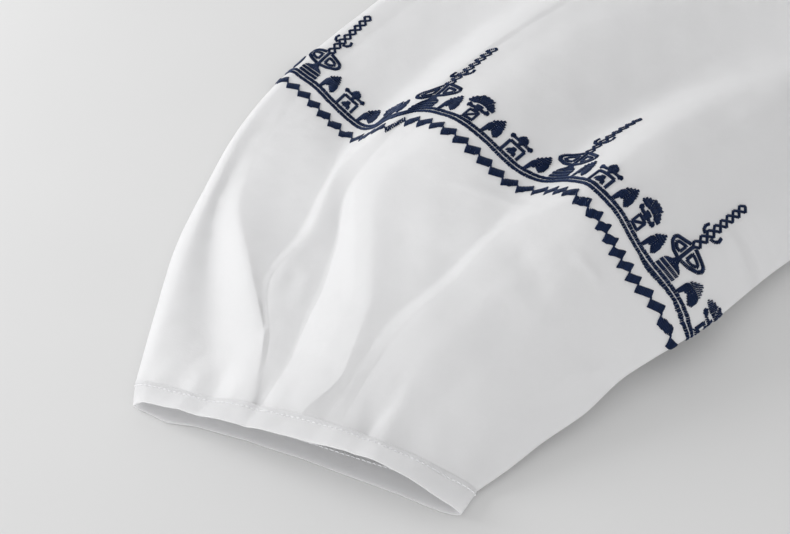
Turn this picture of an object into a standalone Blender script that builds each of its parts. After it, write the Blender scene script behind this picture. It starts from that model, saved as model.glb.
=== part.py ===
"""A white cotton top with gathered elbow-length sleeves, laid flat on its back.

The frame is the garment's own: x runs across the body, y from hem to neck and z up from
the surface that it lies on. The origin is below the middle of its outline. Every piece of
cloth is a wall of even thickness, and its folds come from the short tables below.
"""

import bpy
import numpy as np

MM = 0.001

# Cloth and seams
WALL = 1.2 * MM
SEAM_GAP = 0.3 * MM
EDGE_HALF = 1.7 * MM  # half the outside height of a tube's folded edge
EDGE_RUN = 3.5 * MM  # the two layers part this far in from the fold

# Body, half of it, from the centre line outwards
HEM_Y = -310 * MM
HEM_HALF = 272 * MM
ARMPIT = np.array([266, -6]) * MM
SHOULDER = np.array([273, 264]) * MM
NECK_HALF = 95 * MM
NECK_Y = 309 * MM
FRONT_NECK_DROP = 85 * MM
BACK_NECK_DROP = 22 * MM
NECK_BAND_WIDTH = 10 * MM
BODY_LOFT = 10 * MM  # how far the front stands off the back at the middle
ARMHOLE_LOFT = 10.5 * MM
SHOULDER_RUN = 70 * MM  # the front rises from the shoulder seam over this length
FRONT_BASE = 2 * WALL + SEAM_GAP  # top of the front where it is sewn to the back

# Lower edge of the underside turns up to the folded edge from this share of the width
UNDERSIDE_FLAT = 0.84

# The right sleeve's two folded edges, in millimetres, from the cuff seam to the armhole.
# Columns: place along the sleeve (0 cuff seam, 1 embroidered border, 2 armhole), top edge
# x and y, underarm edge x and y, and how far the underarm edge stands off the surface.
SLEEVE_EDGES = (
    (0.00, -640, 52, -559, -43, 0.0),
    (0.20, -622, 78, -547, -42, 1.0),
    (0.40, -603, 104, -531, -40, 3.0),
    (0.60, -581, 127, -515, -39, 5.0),
    (0.80, -558, 149, -493, -35, 8.5),
    (1.00, -530, 169, -465, -34, 10.5),
    (1.25, -465, 198, -415, -24, 6.0),
    (1.50, -400, 222, -365, -17, 3.0),
    (1.75, -336, 243, -315, -11, 1.0),
    (2.00, -273.3, 264, -266.3, -6, 0.0),
)

# The sleeve's folds, one row for each crest or trough from the top edge to the underarm.
# Each place holds the share of the width and the height in millimetres there, from the
# cuff seam to the border in fifths. Beyond the border the rows run on and fade. The last
# two columns turn the row into the other sleeve's: a shift across and a change of height.
FOLD_PLACES = (0.0, 0.2, 0.4, 0.6, 0.8, 1.0)
SLEEVE_FOLDS = (
    ("edge roll", (0.05, 4.3), (0.05, 6.6), (0.045, 6.8), (0.035, 6.6), (0.03, 6.4), (0.03, 6.8), 0.0, 1.0),
    ("outer trough", (0.23, 5.2), (0.19, 5.2), (0.14, 5.2), (0.075, 6.0), (0.06, 6.2), (0.055, 6.8), 0.01, 1.1),
    ("outer crest", (0.35, 7.6), (0.33, 12.6), (0.245, 14.8), (0.13, 9.4), (0.10, 6.4), (0.08, 6.8), 0.03, 0.8),
    ("first foot", (0.362, 7.2), (0.345, 12.3), (0.268, 13.4), (0.255, 7.0), (0.245, 5.4), (0.22, 4.6), 0.03, 1.2),
    ("first crest", (0.370, 7.2), (0.36, 11.4), (0.295, 15.2), (0.305, 17.6), (0.30, 19.0), (0.355, 30.0), 0.035, 0.9),
    ("pocket floor", (0.378, 7.2), (0.385, 8.6), (0.34, 10.8), (0.335, 14.2), (0.315, 17.6), (0.362, 30.6), 0.035, 0.9),
    ("pocket", (0.39, 7.4), (0.41, 7.8), (0.40, 9.6), (0.378, 13.2), (0.33, 17.2), (0.37, 31.2), 0.035, 0.9),
    ("pocket crest", (0.45, 8.9), (0.50, 13.2), (0.535, 25.8), (0.455, 28.0), (0.365, 25.0), (0.40, 34.6), 0.01, 0.8),
    ("first top", (0.52, 9.5), (0.55, 15.6), (0.575, 26.6), (0.53, 29.0), (0.47, 32.0), (0.47, 38.0), 0.005, 0.9),
    ("valley", (0.575, 9.8), (0.58, 16.4), (0.61, 26.2), (0.655, 26.2), (0.675, 28.8), (0.61, 30.2), 0.005, 0.8),
    ("second crest", (0.62, 9.9), (0.61, 16.9), (0.65, 29.6), (0.70, 34.8), (0.72, 40.0), (0.755, 47.0), 0.0, 0.85),
    ("cuff crease", (0.685, 8.8), (0.695, 12.0), (0.70, 25.4), (0.745, 33.8), (0.77, 39.2), (0.80, 45.6), 0.0, 0.9),
    ("underarm bulge", (0.80, 7.8), (0.765, 13.6), (0.81, 21.6), (0.83, 27.0), (0.85, 34.0), (0.875, 33.8), -0.02, 1.0),
    ("underarm shoulder", (0.92, 4.0), (0.92, 9.4), (0.92, 14.0), (0.92, 18.0), (0.93, 22.0), (0.935, 26.0), 0.0, 1.0),
)
FADE_START = 1.05  # place along the sleeve where the folds begin to fade
FADE_END = 2.0

# The cuff's upper layer, in millimetres: share of the width, height at the seam, height
# at the open mouth
CUFF_ENDS = ((-644, 44), (-568, -47.4))
CUFF_PROFILE = (
    (0.08, 3.6, 4.4),
    (0.16, 4.4, 4.0),
    (0.26, 5.8, 5.6),
    (0.38, 7.6, 7.8),
    (0.50, 9.2, 9.2),
    (0.60, 9.8, 10.6),
    (0.68, 9.2, 12.4),
    (0.78, 7.8, 10.6),
    (0.88, 5.0, 5.4),
    (0.95, 3.7, 3.8),
)

# Soft folds of the front, in millimetres: where each starts and ends, its height and how
# wide it spreads
FRONT_FOLDS = (
    ("from the right armhole", -236, 60, -120, -90, 4.5, 20),
    ("from the left armhole", 232, 44, 138, -70, 4.0, 17),
    ("right of the middle", -62, 40, -84, -190, 3.6, 24),
    ("left of the middle", 74, -30, 58, -232, 3.8, 22),
    ("above the hem", -176, -150, -150, -290, 3.4, 20),
    ("over the chest", -40, 170, 96, 128, 2.6, 22),
)

# How finely each piece is drawn
STEPS_BETWEEN_FOLDS = 2
CUFF_TO_BORDER_STEPS = 14
BORDER_TO_ARMHOLE_STEPS = 8
UNDERSIDE_STEPS = 9
EDGE_SHARES = (0.0, 0.12, 0.45, 1.0)  # points round a folded edge, as shares of EDGE_RUN
NECK_COLUMNS = 12
SHOULDER_COLUMNS = 4
ROWS_TO_ARMPIT = 8
ROWS_ABOVE = 7
BACK_ROWS = 2
NECK_FOLD_STEPS = 4


def ease(value):
    """0 to 1 with level ends."""
    value = np.clip(value, 0.0, 1.0)
    return value * value * (3 - 2 * value)


def fair_curve(knots, values, at):
    """A smooth curve through the knots that never swings past them."""
    knots, values, at = (np.asarray(part, float) for part in (knots, values, at))
    steps = np.diff(knots)
    slopes = np.diff(values) / steps
    inner = np.where(
        slopes[1:] * slopes[:-1] > 0,
        2 * slopes[1:] * slopes[:-1] / np.where(slopes[1:] + slopes[:-1] == 0, 1, slopes[1:] + slopes[:-1]),
        0.0,
    )
    tangents = np.concatenate([slopes[:1], inner, slopes[-1:]])
    span = np.clip(np.searchsorted(knots, at, side="right") - 1, 0, len(steps) - 1)
    t = np.clip((at - knots[span]) / steps[span], 0.0, 1.0)
    start = values[span] * (1 + 2 * t) * (1 - t) ** 2
    end = values[span + 1] * t * t * (3 - 2 * t)
    bend = steps[span] * (tangents[span] * t * (1 - t) ** 2 - tangents[span + 1] * t * t * (1 - t))
    return start + end + bend


def edges_at(place):
    """Top edge point, underarm edge point and underarm lift of the right sleeve."""
    rows = np.array(SLEEVE_EDGES)
    top_x, top_y, under_x, under_y, lift = (
        fair_curve(rows[:, 0], rows[:, column], place) * MM for column in range(1, 6)
    )
    return np.array([top_x, top_y]), np.array([under_x, under_y]), lift


def armhole_height(share):
    """Top of the cloth along the armhole seam, which both sleeve and front follow."""
    return 2 * EDGE_HALF + ARMHOLE_LOFT * np.sin(np.pi * share) ** 0.7


def folds_at(place, other_sleeve):
    """Share of the width and height of every fold row at this place along the sleeve."""
    shares, heights = [], []
    for row in SLEEVE_FOLDS:
        stations, shift, growth = np.array(row[1:-2]), row[-2], row[-1]
        along = min(place, 1.0)
        share = float(fair_curve(FOLD_PLACES, stations[:, 0], along))
        height = float(fair_curve(FOLD_PLACES, stations[:, 1], along)) * MM
        if other_sleeve:
            grown = ease(place * 4)
            share += shift * grown
            height *= 1 + (growth - 1) * grown
        fade = ease((place - FADE_START) / (FADE_END - FADE_START))
        shares.append(share)
        heights.append(height * (1 - fade) + armhole_height(share) * fade)
    return np.array(shares), np.array(heights)


def upper_shares(fold_shares, width):
    """Shares of the width for the upper layer's points, so that they run along the folds."""
    near = np.array(EDGE_SHARES) * EDGE_RUN / width
    marks = np.concatenate([[near[-1]], fold_shares, [1 - near[-1]]])
    marks = np.maximum.accumulate(marks)
    between = [
        marks[i] + (marks[i + 1] - marks[i]) * step / STEPS_BETWEEN_FOLDS
        for i in range(len(marks) - 1)
        for step in range(STEPS_BETWEEN_FOLDS)
    ]
    return np.concatenate([near[:-1], between, [marks[-1]], 1 - near[-2::-1]])


def ring(top, under, lift, fold_shares, fold_heights):
    """Outer and inner outline of a flattened tube between two edge points, in space."""
    width = np.linalg.norm(under - top)
    upper = upper_shares(fold_shares, width)
    near = np.array(EDGE_SHARES) * EDGE_RUN / width
    flat = np.linspace(near[-1], 1 - near[-1], UNDERSIDE_STEPS)
    lower = np.concatenate([near[1:-1], flat, 1 - near[-2:0:-1]])[::-1]
    knots = np.concatenate([[0], fold_shares, [1]])
    tops = np.concatenate([[2 * EDGE_HALF], fold_heights, [2 * EDGE_HALF + lift]])

    def parted(share):
        run = np.minimum(share, 1 - share) * width / EDGE_RUN
        return np.sqrt(1 - (1 - np.clip(run, 0, 1)) ** 2)

    def middle(share):
        return EDGE_HALF + lift * ease((share - UNDERSIDE_FLAT) / (1 - UNDERSIDE_FLAT))

    roof = middle(upper) + (fair_curve(knots, tops, upper) - middle(upper)) * parted(upper)
    floor = middle(lower) - EDGE_HALF * parted(lower)
    outline = np.concatenate([np.column_stack([upper * width, roof]), np.column_stack([lower * width, floor])])
    before, after = np.roll(outline, 1, axis=0), np.roll(outline, -1, axis=0)
    first, second = outline - before, after - outline
    first /= np.linalg.norm(first, axis=1)[:, None]
    second /= np.linalg.norm(second, axis=1)[:, None]
    inward = np.column_stack([(first + second)[:, 1], -(first + second)[:, 0]])
    inward /= np.linalg.norm(inward, axis=1)[:, None]
    across = (under - top) / width

    def in_space(points):
        plan = top + points[:, :1] * across
        return np.column_stack([plan, points[:, 1]])

    return in_space(outline), in_space(outline + WALL * inward)


def grid_faces(rows, columns, start, closed_columns, closed_rows=False):
    """Quads over a grid of vertices numbered row by row."""
    faces = []
    for i in range(rows if closed_rows else rows - 1):
        for j in range(columns if closed_columns else columns - 1):
            right, up = (j + 1) % columns, (i + 1) % rows
            faces.append(
                (
                    start + i * columns + j,
                    start + i * columns + right,
                    start + up * columns + right,
                    start + up * columns + j,
                )
            )
    return faces


def add_piece(name, points, faces, material):
    """A named mesh object with its faces turned outwards."""
    mesh = bpy.data.meshes.new(name)
    mesh.from_pydata([tuple(point) for point in points], [], faces)
    mesh.update()
    mesh.calc_loop_triangles()
    corners = np.array([tuple(triangle.vertices) for triangle in mesh.loop_triangles])
    spots = np.array(points)[corners]
    volume = np.einsum("ij,ij->i", spots[:, 0], np.cross(spots[:, 1], spots[:, 2])).sum()
    if volume < 0:
        mesh.flip_normals()
    mesh.shade_smooth()
    mesh.set_sharp_from_angle(angle=np.radians(50))
    mesh.materials.append(material)
    piece = bpy.data.objects.new(name, mesh)
    bpy.context.scene.collection.objects.link(piece)
    return piece


def tube(name, rings, material, mirrored):
    """A tube of cloth from (outer, inner) rings, open at both ends."""
    outer = np.array([pair[0] for pair in rings])
    inner = np.array([pair[1] for pair in rings])
    count, around = outer.shape[:2]
    points = np.concatenate([outer.reshape(-1, 3), inner.reshape(-1, 3)])
    if mirrored:
        points = points * (-1, 1, 1)
    shell = count * around
    faces = grid_faces(count, around, 0, True)
    faces += [face[::-1] for face in grid_faces(count, around, shell, True)]
    for row, turned in ((0, False), (count - 1, True)):
        for j in range(around):
            k = (j + 1) % around
            lip = (row * around + j, shell + row * around + j, shell + row * around + k, row * around + k)
            faces.append(lip[::-1] if turned else lip)
    return add_piece(name, points, faces, material)


def panel(name, tops, bottoms, material):
    """A flat piece of cloth from two grids of points."""
    rows, columns = tops.shape[:2]
    points = np.concatenate([tops.reshape(-1, 3), bottoms.reshape(-1, 3)])
    under = rows * columns
    faces = grid_faces(rows, columns, 0, False)
    faces += [face[::-1] for face in grid_faces(rows, columns, under, False)]
    rim = [j for j in range(columns)]
    rim += [i * columns + columns - 1 for i in range(1, rows)]
    rim += [(rows - 1) * columns + j for j in range(columns - 2, -1, -1)]
    rim += [i * columns for i in range(rows - 2, 0, -1)]
    for here, ahead in zip(rim, rim[1:] + rim[:1]):
        faces.append((ahead, here, under + here, under + ahead))
    return add_piece(name, points, faces, material)


def side_half(y):
    """Half the body's width at this height: side seam below the armpit, armhole above."""
    return np.interp(y, [HEM_Y, ARMPIT[1], SHOULDER[1]], [HEM_HALF, ARMPIT[0], SHOULDER[0]])


def shoulder_y(x):
    """The shoulder seam's height, with the neck point at NECK_HALF."""
    return np.interp(np.abs(x), [NECK_HALF, SHOULDER[0]], [NECK_Y, SHOULDER[1]])


def fold_rise(x, y):
    """Height that the front's soft folds add."""
    total = np.zeros_like(x)
    for _, x0, y0, x1, y1, height, spread in FRONT_FOLDS:
        start, end = np.array([x0, y0]) * MM, np.array([x1, y1]) * MM
        run = end - start
        along = ((x - start[0]) * run[0] + (y - start[1]) * run[1]) / (run @ run)
        away = ((x - start[0]) * run[1] - (y - start[1]) * run[0]) / np.linalg.norm(run)
        ends = ease(along * 2.5 + 0.3) * ease((1 - along) * 2.5 + 0.3)
        total += height * MM * ends * np.exp(-((away / (spread * MM)) ** 2))
    return total


def front_top(x, y):
    """Top of the front: low at the side and shoulder seams, open at armholes, neck and hem."""
    half = side_half(y)
    out = np.clip(np.abs(x) / half, 0, 1)
    share = np.clip((SHOULDER[1] - y) / (SHOULDER[1] - ARMPIT[1]), 0, 1)
    armhole = np.maximum(armhole_height(share) - FRONT_BASE, 0) * (share < 1)
    inside = (BODY_LOFT + fold_rise(x, y)) * ease((shoulder_y(x) - y) / SHOULDER_RUN)
    edge = out**6
    return FRONT_BASE + inside * (1 - edge) + armhole * edge


def body_grid(neck_drop, rows):
    """Plan points of a body panel: rows from hem to shoulder, columns across."""
    turn = np.linspace(-np.pi / 2, np.pi / 2, NECK_COLUMNS + 1)
    neck_x, neck_y = NECK_HALF * np.sin(turn), NECK_Y - neck_drop * np.cos(turn)
    shoulder_x = np.linspace(NECK_HALF, SHOULDER[0], SHOULDER_COLUMNS + 1)[1:]
    top_x = np.concatenate([-shoulder_x[::-1], neck_x, shoulder_x])
    top_y = np.concatenate([shoulder_y(shoulder_x)[::-1], neck_y, shoulder_y(shoulder_x)])
    y = HEM_Y + np.outer(rows, top_y - HEM_Y)
    x = np.outer(np.ones(len(rows)), top_x / SHOULDER[0]) * side_half(y)
    return x, y


def body_panel(name, neck_drop, rows, height, material):
    x, y = body_grid(neck_drop, rows)
    top = height(x, y)
    tops = np.stack([x, y, top], axis=-1)
    bottoms = np.stack([x, y, top - WALL], axis=-1)
    return panel(name, tops, bottoms, material)


def neck_sections():
    """Corners of the neck band's section, all the way round: across the front, over the
    shoulder, along the back and over the other shoulder."""
    outer_half = NECK_HALF - SEAM_GAP
    inner_half = outer_half - NECK_BAND_WIDTH
    turn_height = FRONT_BASE / 2

    def flat(angle, drop, top, side):
        rim_out = (outer_half * np.sin(angle), NECK_Y - (drop - SEAM_GAP) * np.cos(angle))
        inner_drop = drop - SEAM_GAP - NECK_BAND_WIDTH
        rim_in = (inner_half * np.sin(angle), NECK_Y - inner_drop * np.cos(angle))
        height = float(top(*map(np.array, rim_out)))
        back = height - WALL * side
        return [(*rim_out, height), (*rim_in, height), (*rim_in, back), (*rim_out, back)]

    def folded(sign, angle):
        corners = []
        for radius in (turn_height, turn_height - WALL):
            y = NECK_Y + radius * np.sin(angle)
            z = turn_height + radius * np.cos(angle)
            corners.append([(sign * outer_half, y, z), (sign * inner_half, y, z)])
        return [corners[0][0], corners[0][1], corners[1][1], corners[1][0]]

    sweep = np.linspace(-np.pi / 2, np.pi / 2, NECK_COLUMNS + 1)
    over = np.linspace(0, np.pi, NECK_FOLD_STEPS + 1)[1:-1]
    sections = [flat(angle, FRONT_NECK_DROP, front_top, 1) for angle in sweep]
    sections += [folded(1, angle) for angle in over]
    sections += [flat(angle, BACK_NECK_DROP, lambda x, y: x * 0, -1) for angle in sweep[::-1]]
    sections += [folded(-1, angle) for angle in over[::-1]]
    return np.array(sections)


def neck_band(material):
    sections = neck_sections()
    faces = grid_faces(len(sections), 4, 0, True, closed_rows=True)
    return add_piece("neck_band", sections.reshape(-1, 3), faces, material)


def sleeve(name, material, other_sleeve):
    to_border = np.linspace(0, 1, CUFF_TO_BORDER_STEPS + 1)
    to_armhole = np.linspace(1, 2, BORDER_TO_ARMHOLE_STEPS + 1)[1:]
    rings = []
    for place in np.concatenate([to_border, to_armhole]):
        top, under, lift = edges_at(place)
        rings.append(ring(top, under, lift, *folds_at(place, other_sleeve)))
    return tube(name, rings, material, mirrored=other_sleeve)


def cuff(name, material, other_sleeve):
    """The narrow band from just past the sleeve's seam to the open mouth."""
    seam_top, seam_under, _ = edges_at(0.0)
    mouth_top, mouth_under = (np.array(end) * MM for end in CUFF_ENDS)
    depth = np.linalg.norm((seam_top + seam_under - mouth_top - mouth_under) / 2)
    profile = np.array(CUFF_PROFILE)
    rings = []
    for share in (SEAM_GAP / depth, 0.5, 1.0):
        heights = (profile[:, 1] * (1 - share) + profile[:, 2] * share) * MM
        top = seam_top * (1 - share) + mouth_top * share
        under = seam_under * (1 - share) + mouth_under * share
        rings.append(ring(top, under, 0.0, profile[:, 0], heights))
    return tube(name, rings, material, mirrored=other_sleeve)


def cotton(name, colour, roughness):
    material = bpy.data.materials.new(name)
    material.use_nodes = True
    shader = material.node_tree.nodes["Principled BSDF"]
    shader.inputs["Base Color"].default_value = (*colour, 1)
    shader.inputs["Roughness"].default_value = roughness
    shader.inputs["Metallic"].default_value = 0.0
    return material


def clear_scene():
    for thing in list(bpy.data.objects):
        bpy.data.objects.remove(thing, do_unlink=True)


def main():
    clear_scene()
    body_cotton = cotton("body cotton", (0.86, 0.86, 0.88), 0.85)
    sleeve_cotton = cotton("sleeve cotton", (0.87, 0.87, 0.89), 0.85)
    binding = cotton("folded binding", (0.84, 0.84, 0.86), 0.88)
    to_armpit = (ARMPIT[1] - HEM_Y) / (SHOULDER[1] - HEM_Y)
    rows = np.concatenate(
        [np.linspace(0, to_armpit, ROWS_TO_ARMPIT + 1), np.linspace(to_armpit, 1, ROWS_ABOVE + 1)[1:]]
    )
    body_panel("front", FRONT_NECK_DROP, rows, front_top, body_cotton)
    back_rows = np.concatenate([np.linspace(0, to_armpit, BACK_ROWS + 1), [1.0]])
    body_panel("back", BACK_NECK_DROP, back_rows, lambda x, y: np.full_like(x, WALL), body_cotton)
    neck_band(binding)
    for side, other_sleeve in (("right", False), ("left", True)):
        sleeve(f"sleeve_{side}", sleeve_cotton, other_sleeve)
        cuff(f"cuff_{side}", binding, other_sleeve)


main()
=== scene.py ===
"""Looks of a white cotton top with embroidered balloon sleeves, laid flat on its back.

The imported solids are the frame. Each piece of cloth here is a thin shell on its solid's
form, drawn from the same sizes on a finer grid, with its small creases added. Sewing and
embroidery are made stitch by stitch on the cloth's own surface.
"""

import math

import bpy
import numpy as np
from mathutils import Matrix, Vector


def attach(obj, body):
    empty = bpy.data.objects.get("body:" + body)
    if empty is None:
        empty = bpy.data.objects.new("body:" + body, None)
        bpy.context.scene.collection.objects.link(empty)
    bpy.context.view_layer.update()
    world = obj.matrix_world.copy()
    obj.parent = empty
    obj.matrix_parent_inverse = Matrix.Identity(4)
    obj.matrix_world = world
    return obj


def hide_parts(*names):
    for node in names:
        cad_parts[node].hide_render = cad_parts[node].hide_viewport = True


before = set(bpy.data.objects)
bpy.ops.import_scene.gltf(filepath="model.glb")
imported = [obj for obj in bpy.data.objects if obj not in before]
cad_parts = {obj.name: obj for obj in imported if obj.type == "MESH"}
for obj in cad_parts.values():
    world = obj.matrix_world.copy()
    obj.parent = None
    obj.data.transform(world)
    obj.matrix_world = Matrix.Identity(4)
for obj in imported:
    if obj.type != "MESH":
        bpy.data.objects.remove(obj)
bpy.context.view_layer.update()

MM = 0.001

# Cloth and seams
WALL = 0.5 * MM
SEAM_GAP = 0.3 * MM
UNDER_ROOM = 0.3 * MM  # room for the thread between the underside and the surface
EDGE_HALF = 1.7 * MM  # half the outside height of a tube's folded edge
EDGE_RUN = 3.5 * MM  # the two layers part this far in from the fold

# Body, half of it, from the centre line outwards
HEM_Y = -310 * MM
HEM_HALF = 272 * MM
ARMPIT = np.array([266, -6]) * MM
SHOULDER = np.array([273, 264]) * MM
NECK_HALF = 95 * MM
NECK_Y = 309 * MM
FRONT_NECK_DROP = 85 * MM
BACK_NECK_DROP = 22 * MM
NECK_BAND_WIDTH = 10 * MM
BODY_LOFT = 11.4 * MM  # how far the front stands off the back at the middle
ARMHOLE_LOFT = 10.5 * MM
SHOULDER_RUN = 70 * MM  # the front rises from the shoulder seam over this length
FRONT_BASE = 2 * WALL + SEAM_GAP  # top of the front where it is sewn to the back

# Lower edge of the underside turns up to the folded edge from this share of the width
UNDERSIDE_FLAT = 0.84
ARMHOLE_FULLNESS = 0.7  # below 1, the armhole's arch is fuller than half a wave
SIDE_FALL = 6  # the higher, the closer to its side seams the front falls

# The right sleeve's two folded edges, in millimetres, from the cuff seam to the armhole.
# Columns: place along the sleeve (0 cuff seam, 1 embroidered border, 2 armhole), top edge
# x and y, underarm edge x and y, and how far the underarm edge stands off the surface.
SLEEVE_EDGES = (
    (0.00, -640, 52, -559, -43, 0.0),
    (0.20, -622, 78, -547, -42, 1.0),
    (0.40, -603, 104, -531, -40, 3.0),
    (0.60, -581, 127, -515, -39, 5.0),
    (0.80, -558, 149, -493, -35, 8.5),
    (1.00, -530, 169, -465, -34, 10.5),
    (1.25, -465, 198, -415, -24, 6.0),
    (1.50, -400, 222, -365, -17, 3.0),
    (1.75, -336, 243, -315, -11, 1.0),
    (2.00, -273.3, 264, -266.3, -6, 0.0),
)

# The sleeve's folds, one row for each crest or trough from the top edge to the underarm.
# Its share of the sleeve's width stands in one table and its height in millimetres in the
# other, at six places from the cuff seam to the border. Beyond the border the rows run on
# and fade. The last column turns the row into the other sleeve's: a shift across, and a
# growth of the height.
FOLD_PLACES = (0.0, 0.2, 0.4, 0.6, 0.8, 1.0)
FOLD_SHARES = (
    ("edge roll", 0.050, 0.050, 0.045, 0.035, 0.030, 0.030, 0.0),
    ("outer trough", 0.238, 0.167, 0.107, 0.060, 0.055, 0.055, 0.01),
    ("outer crest", 0.367, 0.340, 0.239, 0.124, 0.091, 0.080, 0.03),
    ("first foot", 0.373, 0.349, 0.276, 0.281, 0.266, 0.220, 0.03),
    ("first crest", 0.378, 0.357, 0.300, 0.330, 0.309, 0.355, 0.035),
    ("pocket floor", 0.384, 0.383, 0.353, 0.357, 0.327, 0.362, 0.035),
    ("pocket", 0.390, 0.420, 0.421, 0.392, 0.346, 0.370, 0.035),
    ("pocket edge", 0.396, 0.428, 0.429, 0.400, 0.352, 0.380, 0.03),
    ("pocket crest", 0.455, 0.504, 0.513, 0.451, 0.379, 0.410, 0.01),
    ("first top", 0.507, 0.573, 0.563, 0.505, 0.438, 0.470, 0.005),
    ("valley", 0.575, 0.604, 0.617, 0.643, 0.660, 0.640, 0.005),
    ("second crest", 0.620, 0.635, 0.663, 0.690, 0.706, 0.755, 0.0),
    ("cuff crease", 0.684, 0.714, 0.741, 0.753, 0.769, 0.800, 0.0),
    ("underarm bulge", 0.800, 0.800, 0.820, 0.835, 0.850, 0.875, -0.02),
    ("underarm shoulder", 0.920, 0.920, 0.920, 0.920, 0.930, 0.935, 0.0),
)
FOLD_HEIGHTS = (
    ("edge roll", 5.4, 7.2, 7.4, 6.8, 6.6, 6.8, 1.0),
    ("outer trough", 7.8, 5.2, 5.3, 5.7, 6.1, 6.8, 1.1),
    ("outer crest", 12.4, 13.6, 14.2, 10.0, 6.8, 6.8, 0.8),
    ("first foot", 12.3, 13.7, 14.2, 9.8, 8.2, 4.6, 1.2),
    ("first crest", 12.2, 13.8, 15.6, 17.0, 18.8, 30.0, 0.9),
    ("pocket floor", 12.1, 13.6, 14.8, 16.2, 18.4, 30.6, 0.9),
    ("pocket", 12.1, 13.2, 14.0, 15.2, 18.2, 31.2, 0.9),
    ("pocket edge", 12.3, 13.9, 15.6, 16.8, 19.2, 32.4, 0.9),
    ("pocket crest", 13.8, 18.2, 23.8, 25.8, 25.4, 35.0, 0.8),
    ("first top", 14.8, 20.6, 27.0, 29.0, 30.8, 38.0, 0.9),
    ("valley", 15.2, 21.2, 27.5, 28.8, 32.2, 31.8, 0.8),
    ("second crest", 15.4, 21.4, 30.6, 34.8, 40.0, 47.0, 0.85),
    ("cuff crease", 14.8, 20.2, 29.2, 34.2, 39.4, 45.6, 0.9),
    ("underarm bulge", 12.4, 17.2, 24.0, 29.0, 34.8, 35.0, 1.0),
    ("underarm shoulder", 7.2, 11.4, 15.8, 19.4, 22.8, 26.6, 1.0),
)
FADE_START = 1.05  # place along the sleeve where the folds begin to fade
FADE_END = 2.0
OTHER_FOLDS_RUN = 0.25  # the other sleeve's folds take on their own form up to this place
WIDE_PLACE = 1.5  # a place beyond the border where the folds lie widest apart

# The cuff's open mouth, in millimetres: its two ends, then share of the width and height of
# the upper layer's edge
CUFF_ENDS = ((-644, 44), (-568, -47.4))
CUFF_MOUTH = (
    (0.04, 6.4), (0.08, 8.4), (0.15, 9.0), (0.26, 10.8), (0.38, 13.4), (0.48, 15.2), (0.58, 16.4),
    (0.68, 18.4), (0.78, 17.2), (0.88, 11.6), (0.95, 6.4),
)
# The band's rings, in millimetres outwards from the seam, and how deep its topstitching
# pulls each one in
CUFF_LINES = (
    (-0.9, 0.0), (-0.6, 0.25), (0.3, 0.45), (1.0, 0.30), (1.4, 0.05), (1.8, 0.30), (2.5, 0.45),
    (4.0, 0.45), (5.5, 0.45), (7.0, 0.45), (8.2, 0.40), (8.98, 0.25),
)
TOPSTITCH = 1.4 * MM
TUCK = -0.012  # the sleeve's end goes this share of its length on under the band

# How far the lower layer's edge stands out past the mouth's line: share of the width and
# millimetres
LOWER_EDGE = (
    (0.0, 0.0), (0.05, 0.5), (0.11, 1.6), (0.20, -0.6), (0.28, -1.0), (0.36, -1.6), (0.42, -1.4),
    (0.53, -1.6), (0.67, -0.9), (0.81, -0.4), (0.91, 0.6), (0.96, 0.8), (1.0, 0.0),
)

# Creases, in millimetres: where each starts and ends, how far it bows to its left, its
# height (a trough's is negative) and how wide it spreads
SLEEVE_CREASES = (
    ("pocket, outer", -588.5, 55.0, -592.6, 41.4, 0.0, -0.5, 1.3),
    ("pocket, beside it", -587.7, 51.0, -596.5, 37.2, 0.6, 0.5, 1.1),
    ("pocket, upper", -570.8, 62.9, -582.4, 50.8, 0.8, -0.4, 1.6),
    ("pocket, inner", -567.1, 57.3, -579.9, 43.7, -0.6, 0.4, 1.7),
    ("drag line from the cuff", -561.0, -1.6, -583.0, -12.4, 1.4, -0.55, 1.7),
    ("beside the drag line", -563.0, -8.0, -580.0, -16.5, 1.0, 0.35, 2.2),
    ("underarm pair, upper", -527.0, -30.5, -501.0, -31.5, 1.2, 1.0, 2.1),
    ("underarm pair, lower", -525.0, -35.0, -498.0, -34.6, 0.8, -0.8, 1.9),
    ("underarm tuck", -427.6, -9.0, -427.8, -29.0, 2.0, -2.0, 2.2),
    ("beside the tuck", -433.0, -11.0, -433.5, -28.0, 1.6, 1.2, 2.4),
    ("slack below the border", -510.9, 13.5, -511.2, -8.0, 0.0, -1.3, 5.5),
    ("short ridge", -494.5, 0.5, -490.5, -12.5, 0.0, 0.8, 2.2),
    ("curve under the border", -509.5, 53.5, -494.0, 29.5, 1.5, 0.55, 1.5),
    ("curve beside it", -504.0, 56.0, -489.5, 30.5, 1.5, -0.45, 1.6),
    ("broad swell", -519.0, 52.0, -549.0, 10.0, 0.0, 0.7, 8.0),
    ("over the inner fold", -545.0, 70.0, -470.0, 118.0, 6.0, 1.2, 7.0),
    ("towards the armhole, upper", -475.0, 118.0, -322.0, 158.0, 8.0, 2.4, 13.0),
    ("towards the armhole, middle", -455.0, 62.0, -330.0, 64.0, -7.0, -2.0, 12.0),
    ("towards the armhole, top", -440.0, 150.0, -300.0, 196.0, 5.0, 1.6, 9.0),
    ("from the armpit", -404.0, 16.0, -296.0, 50.0, 6.0, 1.8, 9.0),
    ("at the armhole", -318.0, 96.0, -281.0, 118.0, 3.0, 1.4, 7.0),
)
OTHER_SLEEVE_SHIFT = (7.0, -5.0)  # the other sleeve's creases lie this far off the same places
CREASE_START = 0.3  # how far a crease has come up where it starts and ends, before easing
CREASE_GROWTH = 2.5  # how much more it comes up over its whole length

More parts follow.
